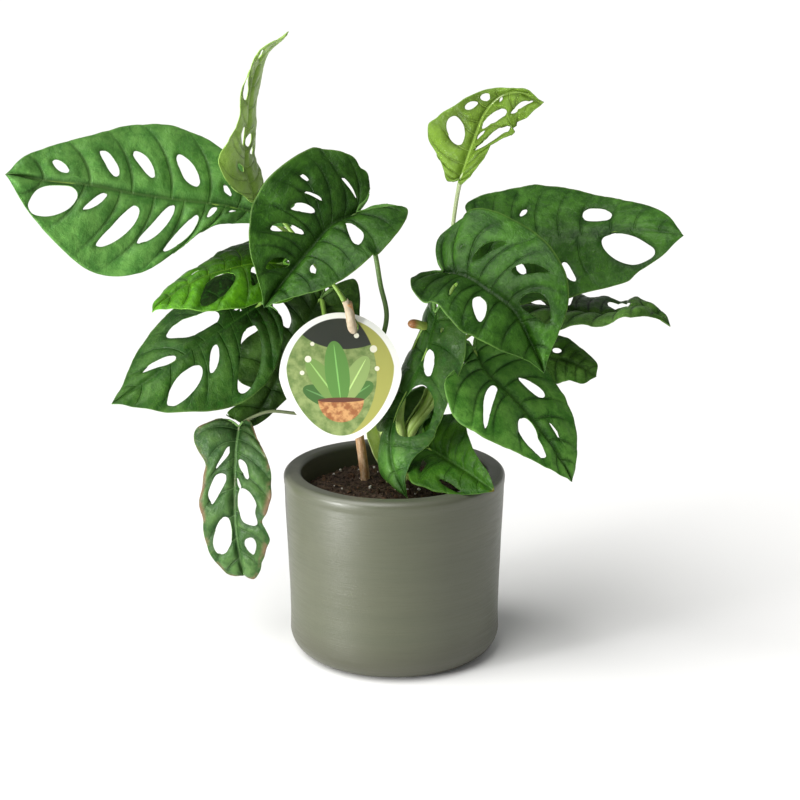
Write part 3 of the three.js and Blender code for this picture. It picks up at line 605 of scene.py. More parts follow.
# How far (p, q) lies from a hole's middle, 1 on its edge, and where the edge is on that ray.
def holeReach(hole, p, q, seed):
    inner, outer, q0, q1, half, egg, slit = hole
    v = (2 * q - q0 - q1) / (q1 - q0)
    u = (p - inner - (outer - inner) * (v + 1) / 2) / (half * max(1 + egg * min(max(v, -1), 1), 0.2))
    power = leafShape["holeSquareness"]
    turn = math.atan2(v, u)
    wobble = 1 + leafShape["holeWobble"] * noise.noise(
        Vector((1.5 * math.cos(turn), 1.5 * math.sin(turn), inner * 40)) + seed)
    reach = (abs(u) ** power + abs(v) ** power) ** (1 / power) / wobble
    if reach < 1e-6:
        return 0.0, p, q
    if slit and reach < 1:
        edgeU = math.copysign((1 - abs(v / wobble) ** power) ** (1 / power) * wobble, u)
        return reach, inner + (outer - inner) * (v + 1) / 2 + half * (1 + egg * v) * edgeU, q
    edgeV = v / reach
    edgeQ = (q0 + q1) / 2 + (q1 - q0) / 2 * edgeV
    edgeP = inner + (outer - inner) * (edgeV + 1) / 2 + half * (1 + egg * edgeV) * u / reach
    return reach, edgeP, edgeQ


# Pull grid lines together round narrow slits, so that these are cut cleanly.
def gather(holes, p, q):
    for inner, outer, q0, q1, half, _, slit in holes:
        v = (2 * q - q0 - q1) / (q1 - q0)
        near = 1 - smooth(1.0, 1.6, abs(v))
        pull = half * leafShape["slitPull"]
        gap = (p - inner - (outer - inner) * (v + 1) / 2) / pull
        if slit and near and abs(gap) < 1:
            p += pull * (math.copysign(abs(gap) ** (1 + 0.9 * near), gap) - gap)
    return p


# A grid bent into the leaf. Points inside a hole move out to its edge, and the faces left inside go.
def bladeMesh(blade):
    margin = max(m.length for m in blade.margins)
    detail = leafShape["fineCells"] if blade.leaf["fine"] else 1.0
    bm = bmesh.new()
    bmesh.ops.create_grid(bm, x_segments=round(margin / leafShape["cell"] * detail),
                          y_segments=2 * round(leafShape["across"] * detail), size=1.0)
    flatLayer = bm.loops.layers.uv.new("flat")
    veinLayer = bm.loops.layers.uv.new("veins")
    shadeLayer = bm.verts.layers.float_color.new("shade")
    toneAndShadeLayer = bm.verts.layers.float.new("tint")
    holes = [holesOf(blade, side) for side in (0, 1)]
    where, inside = {}, set()
    for vert in bm.verts:
        side, p, q = int(vert.co.y > 1e-6), (vert.co.x + 1) / 2, abs(vert.co.y)
        q = 0.0 if q < 1e-6 else q
        p = gather(holes[side], p, q) if q else p
        x, y = blade.flat(side, p, q)
        near = 0.0
        for hole in holes[side]:
            reach, edgeP, edgeQ = holeReach(hole, p, q, blade.seed)
            if reach < 1:
                inside.add(vert)
                p, q, near = edgeP, edgeQ, 1.0
                x, y = blade.flat(side, p, q)
                break
            if reach < 3:
                ex, ey = blade.flat(side, edgeP, edgeQ)
                gap = math.hypot(x - ex, y - ey)
                near = max(near, math.exp(-(gap / leafShape["holeRing"]) ** 2))
        where[vert] = (side, p, q, x, y)
        rise, crease, pillow = blade.relief(side, p, q, x, y, near)
        # Painted shade round holes and in creases, and painted highlight on the pillows.
        vert[shadeLayer] = (near, crease, pillow, 1.0)
        # Painted shade and light, partly the leaf's own tone.
        vert[toneAndShadeLayer] = blade.tint(side, x, y)
        vert.co = blade.place(side, x, y, rise) * unit
    gone = [f for f in bm.faces if all(v in inside for v in f.verts)]
    bmesh.ops.delete(bm, geom=gone, context="FACES")
    for face in bm.faces:
        side = max((where[v][0] for v in face.verts if where[v][2] > 0), default=0)
        middle = sum(where[v][1] for v in face.verts) / 4
        for loop in face.loops:
            _, p, q, x, y = where[loop.vert]
            k, _, gap = blade.veinPhase(side, middle, q)
            inner, outer = blade.veins[side][k]
            loop[flatLayer].uv = ((x if side else -x) * uvUnit, y * uvUnit)
            loop[veinLayer].uv = (k + (p - inner - (outer - inner) * q) / gap + 40 * side, q)
    middleNormal = blade.frames[len(blade.frames) // 2][2]
    if sum(f.normal.dot(middleNormal) for f in bm.faces) < 0:
        bmesh.ops.reverse_faces(bm, faces=bm.faces[:])
    bmesh.ops.remove_doubles(bm, verts=bm.verts[:], dist=0.00004)
    return meshFrom(bm, blade.leaf["name"])


# A stalk flares at its foot, has a knee under the blade, and thins to nothing under the midrib.
stalkShape = {
    "ribShares": (0.0, 0.04, 0.12, 0.25, 0.4, 0.55, 0.7, 0.85, 0.95), "ribEnd": 0.3, "ribStart": 0.95,
    "flare": 0.8, "flareReach": 7, "knee": 0.28, "kneeReach": 6, "thinning": 0.08, "groove": 0.12,
    "step": 3.2, "leastSteps": 12, "sides": 10,
}


# A node's name without its first word, in one word: leaf_far_left becomes bladeFarLeft.
def pieceName(prefix, node):
    return prefix + "".join(word.capitalize() for word in node.split("_")[1:])


def makeStalk(leaf, blade, foot, skin):
    ribPoints = []
    for share in stalkShape["ribShares"]:
        thick = blend(0.9 * leaf["radius"], stalkShape["ribEnd"], share ** 0.7)
        sunk = -leafShape["ribDepth"] * smooth(0, 0.05, share) - 1.05 * thick
        ribPoints.append(blade.place(0, 0.0, share * blade.length, sunk))
    route = Route([foot, *leaf["petiole"][:-1], *ribPoints])
    joint = 1 - blade.length * stalkShape["ribShares"][-1] / route.length
    slim = leaf["slim"]

    def width(share, angle):
        if share < joint:
            fromFoot = share * route.length / stalkShape["flareReach"]
            base = leaf["radius"] * (1 + stalkShape["flare"] * math.exp(-fromFoot ** 2))
            toKnee = (joint - share) * route.length / stalkShape["kneeReach"]
            knee = stalkShape["knee"] * math.exp(-toKnee ** 2)
            groove = 1 - stalkShape["groove"] * smooth(0.4, 1.0, math.sin(angle))
            return slim * base * (1 - stalkShape["thinning"] * share / joint + knee) * groove
        start = stalkShape["ribStart"] * slim * leaf["radius"]
        return blend(start, stalkShape["ribEnd"], ((share - joint) / (1 - joint)) ** 0.6)

    bm = bmesh.new()
    steps = max(round(route.length / stalkShape["step"]), stalkShape["leastSteps"])
    addTube(bm, route, width, steps, stalkShape["sides"])
    name = pieceName("stalk", leaf["name"])
    subdivide(makePiece(name, meshFrom(bm, name), [skin], leaf["name"]))


def makeLeaf(leaf, vines, skins):
    blade = Blade(leaf)
    name = pieceName("blade", leaf["name"])
    piece = makePiece(name, bladeMesh(blade), skins[leaf["skin"]], leaf["name"])
    shell = thicken(piece, leafShape["thickness"], -1)
    shell.material_offset = 1
    shell.material_offset_rim = 2
    foot = vines[leaf["vine"]].nearestHeight(leaf["height"])
    makeStalk(leaf, blade, foot, skins["stalk" + leaf["stalk"]])


# The leaves, from the left plant's to the right plant's. Each half lists its widths: how far its lobe
# hangs back past the stalk, then half the blade's width at the five stations. Its holes are (p at the
# rib, p at the edge, q from, q to, width, egg), notches are (p, depth, reach) with lobes below zero, and
# tints are (side, p, q, reach, amount): spots of painted shade and light, partly the leaf's own tone.
leaves = [
    dict(name="leaf_far_left", skin="fresh", vine="left", height=204, radius=1.8, quilt=1.3, shade=0.04,
         twist=-4, face=(0.37, -0.79, 0.49), wave=(1.5, 2.5, 0.1),
         petiole=[(-24, 20, 212), (-25, 42, 221), (-38, 53, 232), (-52, 50, 254), (-68, 43, 276),
                  (-88, 30, 295)],
         rib=[(-88, 30, 295), (-113, 24, 302), (-141, 14, 307), (-170, 4, 313), (-197, -6, 320),
              (-223, -14, 324), (-246, -22, 329)],
         tints=[(0, 0.8, 0.1, 9, 0.2), (0, 0.3, 0.3, 15, 0.2), (1, 0.3, 0.2, 15, 0.18),
                (1, 0.62, 0.75, 20, -0.08), (0, 0.55, 0.9, 15, -0.05), (1, 0.85, 0.1, 8, 0.1),
                (0, 0.68, 0.95, 10, 0.12)],
         left=dict(widths=(21, 10, 21, 54, 52, 24), fold=4, curl=14,
                   holes=[(0.294, 0.309, 0.11, 0.28, 2, -0.7), (0.378, 0.393, 0.07, 0.33, 3.8),
                          (0.449, 0.499, 0.24, 0.73, 7.5, 0.4), (0.532, 0.608, 0.08, 0.56, 7.6, 0.1),
                          (0.647, 0.696, 0.14, 0.71, 9.4, -0.1), (0.736, 0.784, 0.07, 0.39, 4.8, -0.3),
                          (0.85, 0.888, 0.05, 0.96, 21, -0.35)],
                   notches=[(0.42, -1.2, 0.05), (0.63, -1.5, 0.08)]),
         right=dict(widths=(21, 26, 50, 52, 33, 16), fold=4, curl=20,
                    holes=[(0.339, 0.366, 0.15, 0.3, 4, -0.3), (0.467, 0.51, 0.18, 0.56, 11, -0.1),
                           (0.604, 0.643, 0.22, 0.6, 7.6, 0.1), (0.712, 0.739, 0.2, 0.68, 7.4, -0.1),
                           (0.847, 0.865, 0.2, 0.59, 6.4, -0.1)],
                    notches=[(0.74, 1.5, 0.06), (0.93, -2, 0.05)])),
    dict(name="leaf_young_upright", slot="leaf_young", skin="olive", vine="left", height=240, radius=1.5,
         fine=True, quilt=0.3, shade=0.06, twist=7, face=(0.75, -0.61, -0.28), wave=(1, 3, 0),
         petiole=[(-37, -12, 252), (-54, 0, 272), (-70, 8, 290), (-81, 11, 303), (-91, 12, 308)],
         rib=[(-91, 12, 308), (-96, 9, 330), (-94, 8, 356), (-91, 6, 379), (-84, 2, 399), (-66, -6, 415)],
         tints=[(0, 0.75, 0.2, 12, 0.15), (1, 0.3, 0.4, 10, 0.12), (0, 0.35, 0.7, 12, -0.05)],
         left=dict(widths=(1, 12, 30, 16, 16, 12), fold=24, curl=30,
                   holes=[(0.36, 0.372, 0.06, 0.38, 3.6), (0.51, 0.515, 0.04, 0.46, 10, -0.2),
                          (0.693, 0.729, 0.3, 0.84, 8), (0.853, 0.872, 0.15, 0.73, 3.2, -0.2)],
                   notches=[(0.9, -4, 0.06)]),
         right=dict(widths=(2, 18, 27, 22, 18, 9), fold=-15, curl=30,
                    holes=[(0.42, 0.4, 0.28, 0.62, 5, 0.2), (0.495, 0.485, 0.05, 0.34, 8)],
                    notches=[(0.25, -2.5, 0.08)])),
    dict(name="leaf_centre_left", skin="deep", stalk="Dark", vine="left", height=176, radius=1.85,
         fine=True, quilt=0.6, shade=0.21, twist=-3, face=(0.11, -0.75, 0.65), wave=(1.5, 2.5, 0.4),
         petiole=[(-14, 6, 200), (-5, 6, 229), (-9, 4, 252), (-14, 2, 279), (-24, -8, 302)],
         rib=[(-24, -8, 302), (-40, -18, 296), (-51, -27, 285), (-64, -40, 271), (-72, -48, 262),
              (-81, -60, 251)],
         tints=[(1, 0.25, 0.6, 18, 0.18), (1, 0.4, 0.3, 14, 0.12), (1, 0.66, 0.85, 14, -0.17),
                (1, 0.8, 0.6, 10, -0.1), (0, 0.58, 0.5, 14, -0.04), (0, 0.85, 0.4, 10, -0.06),
                (0, 0.28, 0.75, 12, -0.08), (1, 0.45, 0.95, 9, -0.08)],
         left=dict(widths=(27, 40, 41, 37, 27, 11), fold=32, curl=25,
                   holes=[(0.384, 0.502, 0.19, 0.71, 10.4, 0.6), (0.715, 0.756, 0.31, 0.55, 4, -0.4)]),
         right=dict(widths=(20, 51, 50, 46, 32, 11), fold=30, curl=25,
                    holes=[(0.237, 0.324, 0.31, 0.59, 1.9, 0.3), (0.45, 0.495, 0.34, 0.58, 1.2, -0.3),
                           (0.471, 0.476, 0.65, 0.78, 1.3), (0.488, 0.548, 0.27, 0.55, 4.6, 0.2),
                           (0.594, 0.679, 0.19, 0.66, 5.4, 0.2), (0.755, 0.84, 0.09, 0.62, 6.5, -0.2)],
                    notches=[(0.09, -3, 0.04), (0.19, 3.5, 0.03), (0.45, 2, 0.06)])),
    dict(name="leaf_mid_left", skin="bright", stalk="Dark", vine="left", height=193, radius=1.6,
         shade=0.18, twist=29, face=(0.02, -0.56, 0.83), wave=(1.2, 2, 0.2),
         petiole=[(-25, 22, 202), (-26, 43, 211), (-40, 52, 221), (-50, 50, 240), (-64, 34, 259),
                  (-73, 8, 266)],
         rib=[(-73, 8, 266), (-87, 2, 268), (-106, -6, 266), (-126, -14, 261), (-143, -22, 252),
              (-156, -30, 242)],
         tints=[(1, 0.1, 0.3, 14, 0.5), (1, 0.45, 0.5, 28, 0.9), (1, 0.2, 0.5, 16, 0.35),
                (0, 0.12, 0.5, 14, 0.45), (0, 0.38, 0.75, 12, 0.15), (0, 0.55, 0.85, 10, -0.1),
                (0, 0.8, 0.5, 10, -0.05)],
         left=dict(widths=(12, 32, 31, 35, 29, 13), fold=-10, curl=20,
                   holes=[(0.427, 0.469, 0.12, 0.58, 5.4, 0.1), (0.605, 0.738, 0.1, 0.85, 16, -0.3)]),
         right=dict(widths=(12, 47, 45, 27, 21, 10), fold=-10, curl=25,
                    holes=[(0.729, 0.734, 0.35, 0.44, 6)])),
    dict(name="leaf_low_left", skin="mid", vine="left", height=184, radius=1.8, quilt=0.65, shade=0.35,
         twist=7, face=(-0.07, -0.83, 0.55), wave=(1.5, 2.5, 0.6),
         petiole=[(-27, 22, 191), (-30, 44, 201), (-48, 52, 217), (-68, 50, 243), (-84, 38, 252),
                  (-91, 26, 246), (-89, 18, 237)],
         rib=[(-89, 18, 237), (-113, 13, 222), (-129, 8, 212), (-153, 0, 197), (-165, -5, 189),
              (-187, -14, 176)],
         tints=[(1, 0.2, 0.1, 22, 0.5), (0, 0.14, 0.1, 18, 0.4), (1, 0.4, 0.7, 14, 0.6),
                (1, 0.3, 0.6, 24, 0.42), (1, 0.55, 0.1, 10, 0.2), (0, 0.33, 0.15, 14, 0.2),
                (0, 0.8, 0.5, 14, -0.12), (1, 0.78, 0.6, 12, -0.1), (0, 0.5, 0.75, 12, -0.12),
                (0, 0.62, 0.08, 8, 0.15)],
         left=dict(widths=(6, 35, 49, 47, 33, 12), fold=-4, curl=22,
                   holes=[(0.343, 0.477, 0.2, 0.9, 15, -0.1), (0.527, 0.592, 0.13, 0.46, 6, -0.1),
                          (0.669, 0.775, 0.25, 0.87, 15.4, -0.4)]),
         right=dict(widths=(7, 37, 50, 43, 27, 8), fold=-14, curl=22,
                    holes=[(0.32, 0.36, 0.08, 0.2, 2.5), (0.494, 0.622, 0.15, 0.7, 21, -0.3),
                           (0.709, 0.825, 0.03, 0.45, 5.8, -0.4)],
                    notches=[(0.22, -6, 0.1)])),
    dict(name="leaf_behind_left", skin="dark", vine="left", height=171, radius=1.8, quilt=0.5, shade=0.2,
         twist=-10, face=(0.06, -1, 0.08), wave=(1, 2, 0.3),
         petiole=[(-37, 11, 190), (-45, 23, 214), (-50, 34, 237)],
         rib=[(-50, 34, 237), (-60, 33, 218), (-72, 32, 197), (-84, 29, 173), (-98, 24, 148)],
         tints=[(0, 0.3, 0.5, 16, 0.1), (1, 0.62, 0.6, 10, -0.25), (1, 0.9, 0.8, 14, -0.25),
                (1, 0.7, 0.7, 12, -0.15)],
         left=dict(widths=(22, 32, 31, 22, 12, 6), fold=3, curl=15,
                   holes=[]),
         right=dict(widths=(8, 32, 33, 32, 25, 10), fold=3, curl=15,
                    holes=[(0.455, 0.364, 0.3, 0.8, 9.4, -0.2)],
                    notches=[(0.06, -8, 0.05), (0.24, -5, 0.1), (0.5, 6, 0.05), (0.67, -5, 0.08),
                             (0.82, 8, 0.035), (0.9, -13, 0.03), (0.94, -10, 0.02), (0.965, -19, 0.02),
                             (0.985, -26, 0.014)])),
    dict(name="leaf_hanging_left", skin="dusty", stalk="Dusty", vine="left", height=160, radius=1.7,
         slim=0.75, shade=0.17, twist=6, face=(-0.07, -0.99, 0.08), wave=(2, 2.5, 0.75),
         petiole=[(-50, 8, 161), (-67, 4, 164), (-86, 0, 166), (-104, -4, 157)],
         rib=[(-104, -4, 157), (-106, -10, 142), (-107, -16, 116), (-107, -18, 96), (-105, -18, 74),
              (-103, -12, 53)],
         tints=[(0, 0.12, 0.5, 14, 0.4), (1, 0.12, 0.4, 12, 0.34), (1, 0.88, 0.5, 14, -0.13),
                (0, 0.5, 0.1, 8, -0.06)],
         left=dict(widths=(5, 15, 26, 25, 22, 16), fold=26, curl=25,
                   holes=[(0.405, 0.452, 0.06, 0.36, 6.8, 0.4), (0.512, 0.535, 0.04, 0.2, 4.4, -0.2),
                          (0.616, 0.622, 0.08, 0.72, 16.8, -0.2), (0.802, 0.792, 0.3, 0.69, 11, 0.3)],
                   notches=[(0.47, -1.4, 0.05), (0.6, 3, 0.035), (0.7, -2.8, 0.04), (0.82, 1.5, 0.03),
                            (0.93, -3.5, 0.04)]),
         right=dict(widths=(4, 28, 22, 23, 23, 16), fold=5, curl=25,
                    holes=[(0.334, 0.429, 0.14, 0.55, 2.6, -0.5), (0.499, 0.548, 0.2, 0.69, 10.4, 0.4),
                           (0.747, 0.801, 0.1, 0.79, 16, -0.2)],
                    notches=[(0.25, -2.2, 0.05), (0.37, 1.6, 0.04), (0.55, -1.2, 0.04), (0.63, 1.4, 0.03),
                             (0.93, -3.5, 0.04)])),
    dict(name="leaf_young_top", slot="leaf_young", skin="young", stalk="Pale", vine="right", height=230,
         radius=1.5, shade=0.0, twist=41, face=(-0.52, -0.82, 0.23), wave=(1, 2.5, 0.2),
         petiole=[(34, 8, 248), (38, 13, 274), (39, 15, 291), (43, 16, 320)],
         rib=[(43, 16, 320), (51, 18, 343), (59, 18, 363), (69, 14, 374), (81, 6, 377), (95, -2, 371)],
         tints=[(0, 0.25, 0.8, 10, -0.06), (1, 0.3, 0.5, 8, 0.08), (0, 0.6, 0.9, 10, 0.1)],
         left=dict(widths=(4, 16, 34, 17, 4, 2), fold=9, curl=20,
                   holes=[(0.448, 0.508, 0.19, 0.81, 12.5, -0.2), (0.633, 0.605, 0.5, 0.81, 5.4),
                          (0.7, 0.688, 0.28, 0.81, 5.4, 0.3)],
                   notches=[(0.92, -3, 0.06)]),
         right=dict(widths=(3, 11, 17, 26, 23, 17), fold=31, curl=20,
                    holes=[(0.395, 0.575, 0.15, 0.81, 5, 0.7), (0.49, 0.53, 0.04, 0.24, 3.2, -0.3),
                           (0.57, 0.705, 0.06, 0.49, 8.4, 0.2), (0.754, 0.738, 0.03, 0.11, 3.6, 0.2),
                           (0.93, 0.805, 0.28, 0.6, 4.6, 0.4)],
                    notches=[(0.34, 2.5, 0.05)])),
    dict(name="leaf_far_right", skin="deep", vine="right", height=224, radius=1.8, quilt=0.35, shade=0.05,
         twist=-2, face=(-0.18, -0.78, 0.6), wave=(1.5, 2, 0.5),
         petiole=[(36, 20, 238), (48, 34, 262), (61, 30, 284)],
         rib=[(61, 30, 284), (84, 28, 281), (106, 26, 281), (131, 22, 283), (160, 14, 288), (189, 2, 286)],
         tints=[(1, 0.24, 0.4, 10, 0.4), (1, 0.45, 0.6, 13, 0.45), (1, 0.6, 0.55, 28, 0.3),
                (0, 0.58, 0.12, 14, 0.16), (0, 0.88, 0.6, 12, -0.12), (1, 0.8, 0.8, 20, 0.2),
                (0, 0.45, 0.5, 36, -0.1), (0, 0.35, 0.8, 14, -0.05)],
         left=dict(widths=(16, 42, 51, 43, 26, 13), fold=-15, curl=10,
                   holes=[(0.4, 0.42, 0.36, 0.5, 4.5), (0.69, 0.687, 0.31, 0.69, 20)]),
         right=dict(widths=(16, 41, 49, 39, 34, 19), fold=-16, curl=20,
                    holes=[(0.4, 0.42, 0.4, 0.58, 5), (0.564, 0.578, 0.43, 0.77, 5),
                           (0.752, 0.847, 0.04, 0.87, 22)],
                    notches=[(0.44, 5, 0.04)])),
    dict(name="leaf_front_right", skin="deep", vine="right", height=213, radius=1.9, quilt=0.8, shade=0.12,
         twist=9, face=(0.1, -0.71, 0.7), wave=(1.5, 2.5, 0),
         petiole=[(41, -5, 233), (43, -10, 253), (32, -12, 264)],
         rib=[(32, -12, 264), (45, -20, 263), (61, -32, 255), (76, -43, 245), (87, -52, 226),
              (95, -58, 208)],
         tints=[(1, 0.28, 0.5, 22, 0.36), (0, 0.66, 0.15, 14, 0.24), (0, 0.42, 0.8, 16, -0.12),
                (0, 0.2, 0.5, 10, -0.05), (1, 0.75, 0.5, 12, -0.08), (0, 0.88, 0.6, 9, -0.15)],
         left=dict(widths=(11, 44, 50, 46, 29, 9), fold=29, curl=25,
                   holes=[(0.335, 0.345, 0.34, 0.42, 2.2), (0.39, 0.46, 0.23, 0.65, 5),
                          (0.592, 0.648, 0.39, 0.81, 6.6, -0.6), (0.708, 0.772, 0.14, 0.68, 14, 0.3)]),
         right=dict(widths=(13, 39, 39, 44, 32, 9), fold=31, curl=25,
                    holes=[(0.41, 0.45, 0.32, 0.67, 3), (0.565, 0.637, 0.25, 0.69, 9.6, -0.3)])),
    dict(name="leaf_low_right", skin="mid", vine="right", height=202, radius=1.8, shade=-0.04, twist=3,
         face=(0.18, -0.8, 0.57), wave=(1.5, 2.5, 0.8),
         petiole=[(37, 2, 210), (45, 0, 213), (53, -4, 210)],
         rib=[(53, -4, 210), (62, -10, 196), (80, -20, 180), (95, -30, 164), (106, -38, 149),
              (116, -46, 132)],
         tints=[(0, 0.22, 0.5, 16, -0.08), (0, 0.66, 0.75, 12, -0.12), (1, 0.8, 0.8, 12, -0.06),
                (1, 0.55, 0.9, 12, -0.08)],
         left=dict(widths=(11, 25, 43, 36, 25, 10), fold=-13, curl=15,
                   holes=[(0.534, 0.603, 0.33, 0.61, 9.8, -0.3), (0.75, 0.8, 0.27, 0.38, 3)]),
         right=dict(widths=(10, 18, 53, 50, 32, 13), fold=36, curl=20,
                    holes=[(0.46, 0.58, 0.09, 0.86, 6.6, -0.3), (0.697, 0.816, 0.11, 0.74, 17)],
                    notches=[(0.31, -6, 0.06)])),
    dict(name="leaf_narrow_right", skin="dark", vine="right", height=195, radius=1.6, shade=-0.06,
         twist=-9, face=(-0.02, -0.21, 0.98), wave=(2, 3, 0.1),
         petiole=[(51, 26, 213), (79, 34, 223), (107, 30, 231)],
         rib=[(107, 30, 231), (125, 24, 229), (145, 18, 229), (164, 10, 236), (183, 0, 226)],
         tints=[(0, 0.35, 0.4, 16, 0.25), (1, 0.75, 0.6, 12, -0.2)],
         left=dict(widths=(14, 28, 33, 27, 14, 6), fold=10, curl=20,
                   holes=[(0.337, 0.363, 0.19, 0.67, 3.8, -0.2), (0.62, 0.623, 0.03, 0.12, 3.2),
                          (0.698, 0.611, 0.3, 0.86, 11.5, -0.3)],
                   notches=[(0.8, 3, 0.06), (0.59, 1.5, 0.04)]),
         right=dict(widths=(28, 30, 24, 22, 23, 7), fold=14, curl=40,
                    holes=[],
                    notches=[(0.06, -8, 0.08), (0.34, -1.5, 0.04), (0.5, 1.5, 0.04)])),
    dict(name="leaf_small_right", skin="dark", vine="right", height=187, radius=1.5, quilt=0.5,
         shade=-0.24, twist=2, face=(0.04, -0.6, 0.8), wave=(1.5, 2, 0.4),
         petiole=[(48, 18, 199), (69, 27, 204), (89, 30, 200)],
         rib=[(89, 30, 200), (106, 26, 198), (122, 21, 195), (137, 16, 187)],
         tints=[(0, 0.7, 0.3, 12, 0.12), (1, 0.75, 0.8, 8, -0.25)],
         left=dict(widths=(6, 17, 21, 19, 13, 9), fold=5, curl=20,
                   holes=[(0.561, 0.564, 0.2, 0.44, 6, 0.3)]),
         right=dict(widths=(6, 17, 22, 19, 14, 11), fold=-2, curl=40,
                    holes=[])),
    dict(name="leaf_centre_right", skin="mid", vine="right", height=141, radius=1.8, slim=0.5, quilt=0.7,
         ripple=2, shade=0.5, twist=-15, face=(-0.61, -0.72, 0.32), wave=(1, 2.5, 0.3),
         petiole=[(3, 2.5, 160), (7, 1, 189), (17, -1, 220), (27, -8, 236)],
         rib=[(27, -8, 236), (20, -13, 212), (8, -18, 187), (-2, -24, 164), (-2, -31, 142), (8, -44, 120)],
         tints=[(0, 0.88, 0.5, 14, -0.3), (1, 0.85, 0.4, 16, -0.3), (0, 0.45, 0.85, 10, -0.12),
                (0, 0.3, 0.1, 10, 0.08)],
         left=dict(widths=(15, 29, 32, 34, 30, 6), fold=6, curl=12,
                   holes=[(0.289, 0.283, 0.28, 0.4, 3, -0.5), (0.406, 0.457, 0.01, 0.36, 12, 0.1),
                          (0.655, 0.628, 0.01, 0.8, 39, -0.1)]),
         right=dict(widths=(15, 29, 29, 30, 28, 7), fold=-17, curl=50,
                    holes=[],
                    notches=[(0.69, 5, 0.04), (0.75, 25, 0.05), (0.81, 9, 0.03), (0.5, 2, 0.04)])),
    dict(name="leaf_over_rim", skin="rich", vine="right", height=132, radius=1.8, quilt=0.45, shade=0.17,
         twist=36, face=(-0.08, -0.36, 0.93), wave=(1, 2, 0),
         petiole=[(14, -2, 140), (23, -9, 144)],
         rib=[(23, -9, 144), (32, -21, 142), (39, -30, 140), (50, -43, 136.5), (64, -57, 129.5)],
         tints=[(1, 0.6, 0.35, 9, -0.2), (0, 0.5, 0.5, 16, 0.14), (1, 0.9, 0.6, 8, -0.05)],
         left=dict(widths=(19, 33, 25, 17, 10, 6), fold=31, curl=15,
                   holes=[]),
         right=dict(widths=(12, 28, 29, 26, 18, 9), fold=19, curl=6,
                    holes=[(0.449, 0.525, 0.42, 0.7, 3.4, -0.3), (0.667, 0.79, 0.58, 0.84, 4)],
                    notches=[(0.55, -6, 0.06), (0.66, -4, 0.06), (0.78, -3, 0.06)])),
]
leafPlain = dict(slot="leaf_mature", stalk="Green", quilt=1.0, ripple=1.0, slim=1.0, fine=False)

# The stems: radius at the foot and the top, heights of the joints, and how furrowed and swollen they are.
stems = {
    "left": dict(name="vineWoody", skin="woodyStem", node="vine_left", slot="stem_brown",
                 path=[(-20, 19, 101), (-20, 18, 112), (-22, 14, 132), (-24, 10, 149), (-26, 4, 173),
                       (-26, -1, 199), (-27, -8, 224), (-30, -15, 244)],
                 foot=3.3, top=2.7, joints=(160, 171, 176, 184, 193, 204, 228), furrow=0.10, swell=0.16),
    "right": dict(name="vineGreen", skin="vineGreen", node="vine_right", slot="stem_green",
                  path=[(14, 16, 100), (11, 12, 121), (7, 8, 140), (12, 5, 155), (23, 3, 172), (29, 0, 195),
                        (30, -1, 216), (28, 0, 234)],
                  foot=3.6, top=2.8, joints=(132, 141, 187, 195, 202, 213, 224), furrow=0.04, swell=0.12),
}
stemShape = {"steps": 150, "sides": 26, "ringReach": 1.6, "dipRise": 3.2, "dipReach": 1.5, "dipShare": 0.4,
             "lump": 0.05}


def makeStem(stem, skin):
    route = Route(stem["path"])

    def width(share, angle):
        z = route.at(share).z
        base = blend(stem["foot"], stem["top"], share)
        rings = sum(math.exp(-((z - joint) / stemShape["ringReach"]) ** 2) for joint in stem["joints"])
        dips = sum(math.exp(-((z - joint - stemShape["dipRise"]) / stemShape["dipReach"]) ** 2)
                   for joint in stem["joints"])
        grain = noise.noise(Vector((4 * math.cos(angle), 4 * math.sin(angle), z * 0.12)))
        lump = noise.noise(Vector((math.cos(angle), math.sin(angle), z * 0.16)))
        swollen = stem["swell"] * (min(rings, 1.2) - stemShape["dipShare"] * min(dips, 1))
        return base * (1 + swollen + stem["furrow"] * grain + stemShape["lump"] * lump)

    bm = bmesh.new()
    addTube(bm, route, width, stemShape["steps"], stemShape["sides"])
    makePiece(stem["name"], meshFrom(bm, stem["name"]), [skin], stem["node"])


# Thin leaf sheaths wrapped part of the way round a route. Radius in millimetres and opening in degrees
# change with the share s of the way along; facing turns the closed side, and the far end is ragged.
wrapShape = {"rows": 44, "across": 28, "thickness": 0.5, "ragged": 0.06, "uneven": 0.05, "seed": 1}
wraps = [
    dict(name="sheathGreen", skin="greenSheath", node="vine_right", slot="stem_green", facing=-60,
         path=[(8, 6.5, 146), (12, 5, 155), (17.5, 3.6, 164), (23, 2.4, 173), (26, 1.4, 182)],
         radius=lambda s: 4.4 + 0.8 * s, opening=lambda s: 60 + 50 * s),
    dict(name="sheathPetiole", skin="greenSheath", node="vine_right", slot="stem_green", facing=60,
         path=[(6.5, 6, 140), (3, 2.5, 160), (7, 1, 189)],
         radius=lambda s: 3.9 - 1.2 * s, opening=lambda s: 40 + 60 * s),
    dict(name="sheathBroad", skin="backSheath", node="vine_right", slot="stem_green", facing=-90,
         path=[(5, 15, 136), (10, 14, 152), (17, 12, 166), (25, 9, 178)],
         radius=lambda s: 5 + 9 * math.sin(3.0 * s), opening=lambda s: 170),
    dict(name="sheathDry", skin="drySheath", node="vine_left", slot="stem_brown", facing=90,
         path=[(-27, -8, 223), (-28.3, -11, 231), (-29.8, -14.4, 240), (-32.5, -15.2, 247)],
         radius=lambda s: 2.9 - 1.1 * s ** 2, opening=lambda s: 40 + 60 * s),
]


